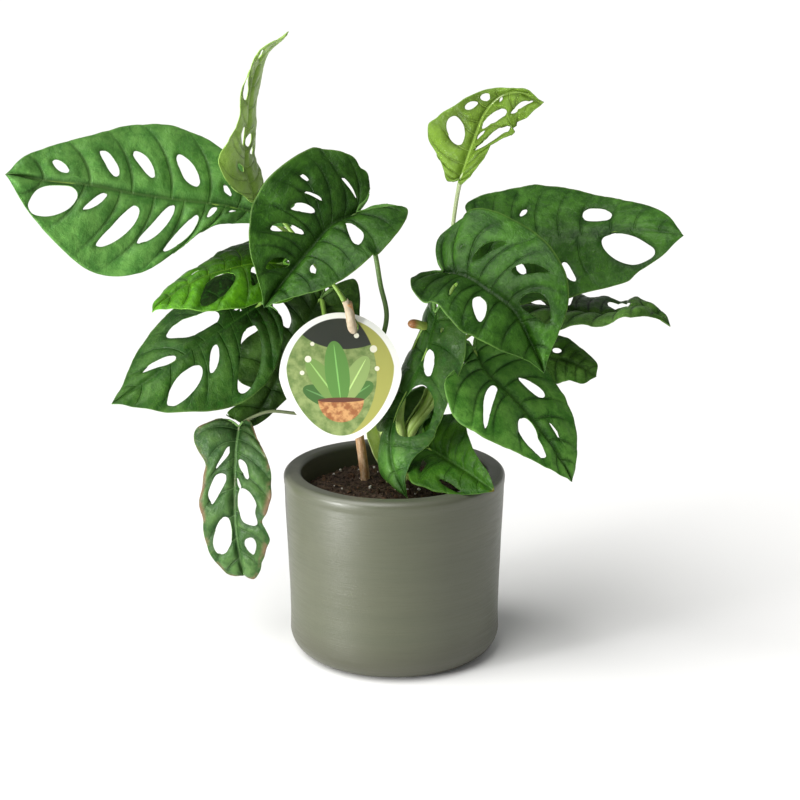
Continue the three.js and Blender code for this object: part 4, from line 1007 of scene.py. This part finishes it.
def makeWrap(wrap, skin):
    route = Route(wrap["path"])
    seed = wrapShape["seed"]

    def place(share, turn):
        uneven = 1 + noise.noise(Vector((turn * 3, seed, 5)))
        share *= 1 - wrapShape["ragged"] * uneven * smooth(0.5, 1, share)
        side, up = route.axes(share)
        angle = math.radians(wrap["facing"]) + turn * math.radians(180 - wrap["opening"](share) / 2)
        lump = noise.noise(Vector((turn * 4, share * 9, seed)))
        wide = wrap["radius"](share) * (1 + wrapShape["uneven"] * lump)
        return route.at(share) + (side * math.cos(angle) + up * math.sin(angle)) * wide

    makeSheet(wrap["name"], route, wrapShape, place, skin, wrap["node"])


# The folded pale sheath that stands in front: a trough that narrows and closes towards its tip.
sheath = {
    "path": [(4, 15, 103), (2, 14, 117), (-5, 11, 132), (-9.5, 9, 143), (-13, 7.5, 155), (-16, 6, 166)],
    "width": 15, "flare": 1.12, "taper": 0.25, "tipFrom": 0.72, "tipNarrow": 0.75, "tipDeep": 0.4,
    "lean": 0.18, "rows": 60, "across": 20, "thickness": 0.7,
}


def makeFrontSheath(skin):
    route = Route(sheath["path"])

    def place(share, turn):
        end = smooth(sheath["tipFrom"], 1.0, share)
        side, up = route.axes(share)
        half = sheath["width"] / 2 * (sheath["flare"] - sheath["taper"] * share)
        half *= 1 - sheath["tipNarrow"] * end
        deep = half * (1.0 + sheath["tipDeep"] * end)
        lean = sheath["lean"] * noise.noise(Vector((turn * 1.5, share * 5, 2)))
        wing = side * half * (math.copysign(abs(turn) ** 0.85, turn) + lean)
        return route.at(share) + wing + up * deep * (abs(turn) ** 1.3 - 0.55)

    makeSheet("sheathFolded", route, sheath, place, skin, "sheath_front")


# The stubby side bud of the green stem, with a domed brown end.
bud = {"path": [(28, 0, 228), (21, -4, 226), (14, -8, 228.2), (9, -9, 228.6)], "radius": 3.1, "foot": 0.8,
       "swell": 0.25, "domeLength": 0.2, "steps": 40, "sides": 20, "brownFrom": 0.145}


def makeBud(skin):
    def width(share, angle):
        past = max(1 - (1 - share) / bud["domeLength"], 0)
        dome = (1 - 0.97 * past ** 2) ** 0.5
        return bud["radius"] * (bud["foot"] + bud["swell"] * share) * dome

    bm = bmesh.new()
    addTube(bm, Route(bud["path"]), width, bud["steps"], bud["sides"])
    makePiece("budStub", meshFrom(bm, "budStub"), [skin], "vine_right")


# Brown bark with furrows along it, pale patches and small pale dots.
barkLook = {"rough": 0.7, "specular": 0.3, "furrows": (30.0, 3.0, 1.0), "patches": (3.0, 9.0, 1.0),
            "dots": (14.0, 30.0, 1.0), "low": (0.48, 0.26, 0.11), "high": (0.88, 0.68, 0.45),
            "furrow": (0.30, 0.13, 0.05), "dot": (0.74, 0.58, 0.38), "relief": 0.0006}


def barkSkin():
    skin = Finish("woodyStem", barkLook)
    spots = skin.uv()
    furrows = skin.grain(spots, barkLook["furrows"], 5.0, 0.65)
    patches = skin.grain(spots, barkLook["patches"], 4.0, 0.6)
    dots = skin.cells(skin.stretch(spots, barkLook["dots"]), 1.0, "F1")
    base = skin.mix(skin.span(patches, 0.34, 0.7), barkLook["low"], barkLook["high"])
    base = skin.mix(skin.span(furrows, 0.42, 0.66, 0.0, 0.7), base, barkLook["furrow"])
    base = skin.mix(skin.span(dots, 0.06, 0.2, 0.5, 0.0), base, barkLook["dot"])
    return skin.wear(Base_Color=base, Normal=skin.bump(furrows, barkLook["relief"], 0.8))


# The pot. The wall runs in two easy curves: out to the waist, then on to the rim.
pot = {
    "height": 127, "rim": 75, "waist": 72.5, "foot": 56, "footRound": 16, "footEnd": -5,
    "wallRows": 22, "wallFrom": 24, "toWaist": (20, 60), "toRim": (38, 125),
    "lip": 0.5, "lipDrop": 3.2, "lipStep": 1.2, "lipShare": 0.35, "rimRound": 4,
    "bore": 63, "boreRound": 3, "boreFoot": 56, "boreRows": 11, "floor": 14, "steps": 192,
    "handmadeFrom": 50, "shrink": 0.25, "drift": 0.18, "throwing": 0.05,
}
glaze = {
    "rough": 0.42, "specular": 0.75, "smoothest": 0.34, "roughest": 0.46,
    "streaks": (45.0, 45.0, 1300.0), "bands": (6.0, 6.0, 90.0), "specks": 900.0,
    "low": (0.060, 0.067, 0.035), "high": (0.067, 0.073, 0.039), "streak": (0.054, 0.058, 0.028),
    # foot is the colour of a painted shade band at the bottom of the wall.
    "speck": (0.043, 0.046, 0.023), "foot": (0.042, 0.040, 0.021), "footShadeHeights": (0.012, 0.034),
    "rim": (0.100, 0.104, 0.080), "rimHeights": (0.1225, 0.126),
    "streakRelief": 0.00022, "speckRelief": 0.0001,
}


# Points on an arc about (r, z), from one angle to another in degrees.
def arc(r, z, radius, start, end, steps):
    turns = [math.radians(start + (end - start) * i / steps) for i in range(steps + 1)]
    return [(r + radius * math.cos(turn), z + radius * math.sin(turn)) for turn in turns]


def potProfile():
    foot, footRound, rim, rimRound = pot["foot"], pot["footRound"], pot["rim"], pot["rimRound"]
    bore, boreRound, height, floor = pot["bore"], pot["boreRound"], pot["height"], pot["floor"]
    points = [(0, 0), (20, 0), (40, 0)]
    points += arc(foot, footRound, footRound, -90, pot["footEnd"], 18)
    for i in range(1, pot["wallRows"]):
        z = blend(footRound, height - rimRound - 1, i / pot["wallRows"])
        if z > pot["wallFrom"]:
            r = blend(foot + footRound, pot["waist"], smooth(*pot["toWaist"], z))
            points.append((r + (rim - pot["waist"]) * smooth(*pot["toRim"], z) - pot["lip"], z))
    lip, lipHeight = pot["lip"], height - rimRound - pot["lipDrop"]
    points += [(rim - lip, lipHeight - pot["lipStep"]), (rim - pot["lipShare"] * lip, lipHeight)]
    points += arc(rim - rimRound, height - rimRound, rimRound, 0, 90, 8)
    points += arc(bore + boreRound, height - boreRound, boreRound, 90, 180, 6)
    for i in range(1, pot["boreRows"] + 1):
        share = i / pot["boreRows"]
        points.append((blend(bore, pot["boreFoot"], share), blend(height - boreRound, floor, share)))
    return [*points, (28, floor), (0, floor)]


def spinProfile(points, steps):
    bm = bmesh.new()
    verts = [bm.verts.new((r * unit, 0, z * unit)) for r, z in points]
    edges = [bm.edges.new(pair) for pair in zip(verts, verts[1:])]
    bmesh.ops.spin(bm, geom=verts + edges, cent=(0, 0, 0), axis=(0, 0, 1), angle=math.tau,
                   steps=steps, use_merge=True)
    bmesh.ops.remove_doubles(bm, verts=bm.verts[:], dist=1e-6)
    bmesh.ops.recalc_face_normals(bm, faces=bm.faces[:])
    return bm


def glazeSkin():
    skin = Finish("sageGlaze", glaze)
    place = skin.objectPlace()
    streaks = skin.grain(place, glaze["streaks"], 4.0, 0.65)
    bands = skin.grain(place, glaze["bands"], 3.0, 0.5)
    specks = skin.noise(place, glaze["specks"], 2.0, 0.5)
    height = skin.split(place)[2]
    base = skin.mix(skin.span(bands, 0.35, 0.65), glaze["low"], glaze["high"])
    base = skin.mix(skin.span(streaks, 0.40, 0.72, 0.0, 0.5), base, glaze["streak"])
    base = skin.mix(skin.span(specks, 0.62, 0.74, 0.0, 0.35), base, glaze["speck"])
    # Painted shade: darker towards the foot, where the wall curves under.
    base = skin.mix(skin.span(height, *glaze["footShadeHeights"], 0.55, 0.0), base, glaze["foot"])
    base = skin.mix(skin.span(height, *glaze["rimHeights"], 0.0, 0.6), base, glaze["rim"])
    rough = skin.span(streaks, 0.3, 0.7, glaze["smoothest"], glaze["roughest"])
    rings = skin.bump(streaks, glaze["streakRelief"], 0.5)
    return skin.wear(Base_Color=base, Roughness=rough,
                     Normal=skin.bump(specks, glaze["speckRelief"], 0.3, rings))


def makePot():
    bm = spinProfile(potProfile(), pot["steps"])
    for vert in bm.verts:
        x, y, z = vert.co / unit
        if math.hypot(x, y) > pot["handmadeFrom"] and z > 3:
            drift = pot["drift"] * noise.noise(Vector((x * 0.02, y * 0.02, z * 0.05)))
            rings = pot["throwing"] * noise.noise(Vector((2.0, 1.0, z * 0.9)))
            vert.co *= 1 - (pot["shrink"] + drift + rings) / pot["rim"] * smooth(3, 12, z)
    makePiece("potBody", meshFrom(bm, "potBody"), [glazeSkin()], "pot")


# The potting mix: an uneven top, raised round the stems, with crumbs, bark, white grains and fibres on it.
soil = {
    "level": 112, "radius": 61.4, "foot": 30, "footGap": 6, "side": 96, "rows": 76, "steps": 220,
    "swells": ((0.045, 1.0, 1.3), (0.16, 4.0, 0.9), (0.5, 8.0, 0.5)),  # how tight, which noise, how high
    "mounds": ((-20, 18), (12, 14)), "moundHeight": 1.5, "moundSpread": 200,
    "edge": (54, 61), "edgeDrop": 2.0, "bareFront": 0.0, "frontFrom": -10,
}
peat = {"rough": 0.95, "specular": 0.15, "clumps": 260.0, "fine": 1500.0, "low": (0.022, 0.015, 0.011),
        "high": (0.110, 0.074, 0.053), "speck": (0.23, 0.165, 0.118), "relief": 0.0014}
litterTones = {
    "barkChips": dict(low=(0.03, 0.016, 0.009), high=(0.13, 0.07, 0.036),
                      rough=0.85, specular=0.25, scale=300.0),
    "perlite": dict(low=(0.50, 0.48, 0.43), high=(0.78, 0.76, 0.71),
                    rough=0.8, specular=0.25, scale=700.0),
    "soilFibres": dict(low=(0.05, 0.028, 0.016), high=(0.20, 0.125, 0.07),
                       rough=0.9, specular=0.25, scale=200.0),
}
lumps = [
    dict(name="soilCrumbs", skin="pottingMix", count=1500, reach=60, sizes=((0.35, 1.5), (0.6, 1.2)),
         flatness=0.8, rise=0.1, detail=1),
    dict(name="barkChips", skin="barkChips", count=70, reach=57, sizes=((1.2, 3.0),),
         flatness=0.3, rise=0.25, detail=1),
    dict(name="perliteGrains", skin="perlite", count=46, reach=57, sizes=((0.5, 1.25),),
         flatness=0.9, rise=0.35, detail=2),
]
fibres = {"count": 90, "reach": 55, "length": (5, 15), "bend": 0.8, "rise": (0.2, 1.4), "limit": 59,
          "radius": (0.12, 0.3), "steps": 8, "sides": 5}


def soilHeight(x, y):
    height = soil["level"]
    for scale, seed, amount in soil["swells"]:
        height += amount * noise.noise(Vector((x * scale, y * scale, seed)))
    mounds = [soil["moundHeight"] * math.exp(-((x - cx) ** 2 + (y - cy) ** 2) / soil["moundSpread"])
              for cx, cy in soil["mounds"]]
    drop = soil["edgeDrop"] * smooth(*soil["edge"], math.hypot(x, y))
    return height + sum(mounds) - drop


def peatSkin():
    skin = Finish("pottingMix", peat)
    place = skin.objectPlace()
    clumps = skin.noise(place, peat["clumps"], 6.0, 0.7)
    fine = skin.noise(place, peat["fine"], 3.0, 0.6)
    base = skin.mix(skin.span(clumps, 0.35, 0.68), peat["low"], peat["high"])
    base = skin.mix(skin.span(fine, 0.55, 0.75, 0.0, 0.6), base, peat["speck"])
    return skin.wear(Base_Color=base, Normal=skin.bump(clumps, peat["relief"], 1.0))


def litterSkin(name, look):
    skin = Finish(name, look)
    share = skin.noise(skin.objectPlace(), look["scale"], 4.0, 0.6)
    base = skin.mix(skin.span(share, 0.32, 0.7), look["low"], look["high"])
    return skin.wear(Base_Color=base, Normal=skin.bump(share, 0.0004, 0.7))


# Random places on the soil. bareFront is the share of places that are left out in front of the stems.
def scatter(draw, count, reach):
    spots = []
    while len(spots) < count:
        r, turn = reach * math.sqrt(draw.random()), draw.uniform(0, math.tau)
        x, y = r * math.cos(turn), r * math.sin(turn)
        if draw.random() > soil["bareFront"] or y > soil["frontFrom"]:
            spots.append((x, y))
    return spots


def addLump(bm, draw, x, y, lump):
    size = math.prod(draw.uniform(*span) for span in lump["sizes"])
    made = bmesh.ops.create_icosphere(bm, subdivisions=lump["detail"], radius=1.0)["verts"]
    turn = Matrix.Rotation(draw.uniform(0, math.tau), 3, Vector([draw.gauss(0, 1) for _ in range(3)]))
    width, depth = draw.uniform(0.7, 1.3), draw.uniform(0.7, 1.3)
    stretch = Vector((width, depth, draw.uniform(0.6, 1.0) * lump["flatness"]))
    offset = Vector([draw.uniform(0, 50) for _ in range(3)])
    middle = Vector((x, y, soilHeight(x, y) + size * lump["rise"]))
    for vert in made:
        uneven = 1 + 0.35 * noise.noise(vert.co * 1.6 + offset)
        shaped = Vector(a * b for a, b in zip(vert.co, stretch)) * size * uneven
        vert.co = (turn @ shaped + middle) * unit


def addFibre(bm, draw, x, y):
    turn, length = draw.uniform(0, math.tau), draw.uniform(*fibres["length"])
    points = []
    for k in range(4):
        px = x + length * (k / 3 - 0.5) * math.cos(turn) + draw.gauss(0, fibres["bend"])
        py = y + length * (k / 3 - 0.5) * math.sin(turn) + draw.gauss(0, fibres["bend"])
        pull = min(1, fibres["limit"] / max(math.hypot(px, py), 1))
        px, py = px * pull, py * pull
        points.append((px, py, soilHeight(px, py) + draw.uniform(*fibres["rise"])))
    thin = draw.uniform(*fibres["radius"])
    addTube(bm, Route(points, 30), lambda share, angle: thin, fibres["steps"], fibres["sides"])


def makeSoil():
    draw = random.Random(11)
    skins = {"pottingMix": peatSkin()}
    for name, look in litterTones.items():
        skins[name] = litterSkin(name, look)
    radius, rows = soil["radius"], soil["rows"]
    top = [(radius - radius * i / rows, soil["level"]) for i in range(rows + 1)]
    foot = [(0, soil["foot"]), (radius - soil["footGap"], soil["foot"])]
    bm = spinProfile([*foot, (radius, soil["side"]), *top], soil["steps"])
    for vert in bm.verts:
        x, y, z = vert.co / unit
        if z > soil["level"] - 1:
            vert.co.z = soilHeight(x, y) * unit
    makePiece("soilBody", meshFrom(bm, "soilBody"), [skins["pottingMix"]], "soil")
    for lump in lumps:
        bm = bmesh.new()
        for x, y in scatter(draw, lump["count"], lump["reach"]):
            addLump(bm, draw, x, y, lump)
        makePiece(lump["name"], meshFrom(bm, lump["name"]), [skins[lump["skin"]]], "soil")
    bm = bmesh.new()
    for x, y in scatter(draw, fibres["count"], fibres["reach"]):
        addFibre(bm, draw, x, y)
    makePiece("soilFibres", meshFrom(bm, "soilFibres"), [skins["soilFibres"]], "soil")


# The plant tag: an egg-shaped card with a slot, threaded on the brown stem, and its printed plant in a bowl.
tag = {"width": 80, "height": 85, "thickness": 0.9, "centre": (-35, -22, 196), "lean": -22, "turn": 4,
       "clearance": 0.6, "narrowing": 0.4, "rings": (0, 0.15, 0.35, 0.55, 0.75, 0.9, 0.98, 1), "steps": 144}
tagPrint = {
    "rough": 0.38, "specular": 0.5,
    "card": (0.80, 0.81, 0.76), "half": (36.0, 39.0), "narrowing": 0.0046, "narrowFrom": 0.97,
    "cloudScale": 0.16, "cloud": ((0.12, 0.19, 0.05), (0.26, 0.33, 0.12)),
    "shade": ((4, 40, 34, 22), (0.030, 0.034, 0.026)), "side": ((-12, 2, 36, 46), (0.36, 0.36, 0.09)),
    "leafFoot": -18,
    "leaves": (  # turn, length, half width, colour
        (-1.15, 27, 6, (0.05, 0.13, 0.03)), (1.0, 25, 6, (0.07, 0.17, 0.04)),
        (-0.62, 37, 7, (0.16, 0.28, 0.07)), (0.52, 36, 7, (0.26, 0.37, 0.12)),
        (-0.1, 42, 8, (0.10, 0.24, 0.05))),
    "bowl": (0, -15, 15, 15), "bowlTop": (-15.4, -15.0),
    "bowlTones": ((0.30, 0.11, 0.04), (0.58, 0.32, 0.13)),
    "bowlRim": ((0, -15.2, 15.5, 1.6), (0.12, 0.045, 0.028)),
    "dots": ((-21, 12, 2.2), (-25, 3, 1.5), (-18, 22, 1.4), (22, 18, 2.4), (24, 5, 1.6), (11, 27, 1.7)),
    "dot": (0.74, 0.72, 0.58),
}


def tagSkin():
    skin = Finish("tagPrint", tagPrint)
    flat = skin.uv()
    x, y, _ = skin.split(flat)
    place = skin.join(x, y)

    # 1 inside an oval of the given middle and half sizes, 0 outside it.
    def disc(cx, cy, rx, ry, turn=0.0):
        centred = skin.vector("SUBTRACT", place, (cx, cy, 0))[0]
        spun = skin.node("ShaderNodeVectorRotate", {"Vector": centred, "Angle": -turn},
                         rotation_type="Z_AXIS").outputs[0]
        scaled = skin.vector("MULTIPLY", spun, (1 / rx, 1 / ry, 1))[0]
        return skin.span(skin.vector("LENGTH", scaled)[1], 0.985, 1.0, 1.0, 0.0)

    cloud = skin.noise(flat, tagPrint["cloudScale"], 4.0, 0.6)
    art = skin.mix(skin.span(cloud, 0.35, 0.65), *tagPrint["cloud"])
    shape, tone = tagPrint["shade"]
    art = skin.mix(disc(*shape), art, tone)
    shape, tone = tagPrint["side"]
    art = skin.mix(skin.math("SUBTRACT", 1.0, disc(*shape)), art, tone)
    for turn, length, half, tone in tagPrint["leaves"]:
        cx, cy = length / 2 * math.sin(turn), tagPrint["leafFoot"] + length / 2 * math.cos(turn)
        pale = tuple(min(1.8 * c + 0.03, 1) for c in tone)
        art = skin.mix(disc(cx, cy, half, length / 2, -turn), art, tone)
        art = skin.mix(disc(cx, cy, 0.5, length / 2 - 2, -turn), art, pale)
    bowl = skin.times(disc(*tagPrint["bowl"]), skin.span(y, *tagPrint["bowlTop"], 1.0, 0.0))
    art = skin.mix(bowl, art, skin.mix(skin.span(cloud, 0.4, 0.6), *tagPrint["bowlTones"]))
    shape, tone = tagPrint["bowlRim"]
    art = skin.mix(disc(*shape), art, tone)
    for cx, cy, size in tagPrint["dots"]:
        art = skin.mix(disc(cx, cy, size, size), art, tagPrint["dot"])
    narrowing = skin.math("ADD", skin.times(y, tagPrint["narrowing"]), tagPrint["narrowFrom"])
    wide, tall = tagPrint["half"]
    across = skin.math("DIVIDE", skin.math("DIVIDE", x, skin.math("MINIMUM", narrowing, 1.0)), wide)
    reach = skin.vector("LENGTH", skin.join(across, skin.math("DIVIDE", y, tall)))[1]
    printed = skin.span(reach, 0.985, 1.0, 1.0, 0.0)
    base = skin.mix(printed, tagPrint["card"], art)
    weave = skin.grain(flat, (0.6, 2.0, 1.0))
    return skin.wear(Base_Color=base, Normal=skin.bump(weave, 0.00005, 0.3))


def makeTag(stem):
    bm = spinProfile([(share * tag["width"] / 2, 0) for share in tag["rings"]], tag["steps"])
    layer = bm.loops.layers.uv.new("UVMap")
    for vert in bm.verts:
        x, y = vert.co.x / unit, vert.co.y / unit * tag["height"] / tag["width"]
        vert.co = (x * (1 + tag["narrowing"] * min(y, 0) / tag["height"]), y, 0)
    for face in bm.faces:
        for loop in face.loops:
            loop[layer].uv = loop.vert.co.xy
    turn = Matrix.Rotation(math.radians(tag["turn"]), 4, "Z") @ Matrix.Rotation(
        math.radians(90 + tag["lean"]), 4, "X")
    for vert in bm.verts:
        vert.co = ((turn @ vert.co) + Vector(tag["centre"])) * unit
    card = addObject("tagBlank", meshFrom(bm, "tagBlank"))
    thicken(card, tag["thickness"])
    bm = bmesh.new()
    addTube(bm, Route(stem["path"]), lambda share, angle: stem["foot"] + tag["clearance"], 40, 24)
    cutter = addObject("slotCutter", meshFrom(bm, "slotCutter"))
    slot = card.modifiers.new("slot", "BOOLEAN")
    slot.operation = "DIFFERENCE"
    slot.object = cutter
    slot.solver = "EXACT"
    shaped = bpy.data.meshes.new_from_object(card.evaluated_get(bpy.context.evaluated_depsgraph_get()))
    bpy.data.objects.remove(card)
    bpy.data.objects.remove(cutter)
    makePiece("tagCard", shaped, [tagSkin()], "hang_tag", smoothShade=False)


makePot()
makeSoil()
print("pot and soil ready")

routes = {side: Route(stem["path"]) for side, stem in stems.items()}
skins = {"woodyStem": barkSkin()}
for name, tones in stalkTones.items():
    skins[name] = fibreSkin(name, stalkLook, *tones, bud["brownFrom"] if name == "budTip" else None)
for name, tones in paperTones.items():
    skins[name] = fibreSkin(name, paperLook, *tones)
for name, tone in leafTones.items():
    face = leafSkin(name + "Leaf", tone)
    skins[name] = [face, leafUnder(name + "Under", tone), leafRim(name + "Rim", tone)]

for stem in stems.values():
    makeStem(stem, skins[stem["skin"]])
for wrap in wraps:
    makeWrap(wrap, skins[wrap["skin"]])
makeBud(skins["budTip"])
makeFrontSheath(skins["foldedSheath"])
makeTag(stems["left"])
print("stems and tag ready")

for leaf in leaves:
    makeLeaf({**leafPlain, **leaf}, routes, skins)
print("leaves ready")

# The studio: a wide pale floor, a broad soft sun from the left front, a small strip light whose reflection
# runs down the pot, and an even white sky. Places are in metres.
studio = {
    "floorSize": 60.0, "floor": {"rough": 0.7, "specular": 0.2}, "floorTone": (0.9, 0.9, 0.9, 1),
    "sky": 0.32,
    "sunFrom": (-0.60, -0.38, 0.95), "sunPower": 3.6, "sunSpread": 60, "sunTone": (1.0, 0.99, 0.97),
    "stripPlace": (-0.61, -0.44, 0.10), "stripTarget": (0, 0, 0.09), "stripSize": (0.13, 0.26),
    "stripPower": 6.0,
    "cameraPlace": (0.00387, -1.1289, 0.4823), "cameraPitch": 15.26, "lens": 78.72, "sensor": 36,
}


def makeFloor():
    bm = bmesh.new()
    bmesh.ops.create_grid(bm, x_segments=2, y_segments=2, size=studio["floorSize"])
    floorPiece = addObject("floor", meshFrom(bm, "floor"))
    skin = Finish("paleFloor", studio["floor"])
    skin.surface.inputs["Base Color"].default_value = studio["floorTone"]
    floorPiece.data.materials.append(skin.material)


def addLight(name, kind, turn, **settings):
    light = bpy.data.lights.new(name, kind)
    for key, value in settings.items():
        setattr(light, key, value)
    lamp = addObject(name, light)
    lamp.rotation_euler = turn.to_euler()
    return lamp


makeFloor()
addLight("softSun", "SUN", Vector(studio["sunFrom"]).to_track_quat("Z", "Y"), energy=studio["sunPower"],
         angle=math.radians(studio["sunSpread"]), color=studio["sunTone"])
stripPlace = Vector(studio["stripPlace"])
stripTurn = (Vector(studio["stripTarget"]) - stripPlace).to_track_quat("-Z", "Y")
stripWide, stripTall = studio["stripSize"]
strip = addLight("stripLight", "AREA", stripTurn, shape="RECTANGLE", size=stripWide, size_y=stripTall,
                 energy=studio["stripPower"])
strip.location = stripPlace

scene = bpy.context.scene
scene.view_settings.view_transform = "Standard"
scene.world = bpy.data.worlds.new("studio")
scene.world.use_nodes = True
sky = scene.world.node_tree.nodes["Background"]
sky.inputs[0].default_value = (1, 1, 1, 1)
sky.inputs[1].default_value = studio["sky"]

camera = addObject("camera", bpy.data.cameras.new("camera"))
camera.location = studio["cameraPlace"]
camera.rotation_euler = (math.radians(90 - studio["cameraPitch"]), 0, 0)
camera.data.lens = studio["lens"]
camera.data.sensor_width = studio["sensor"]
scene.camera = camera
print("studio ready")
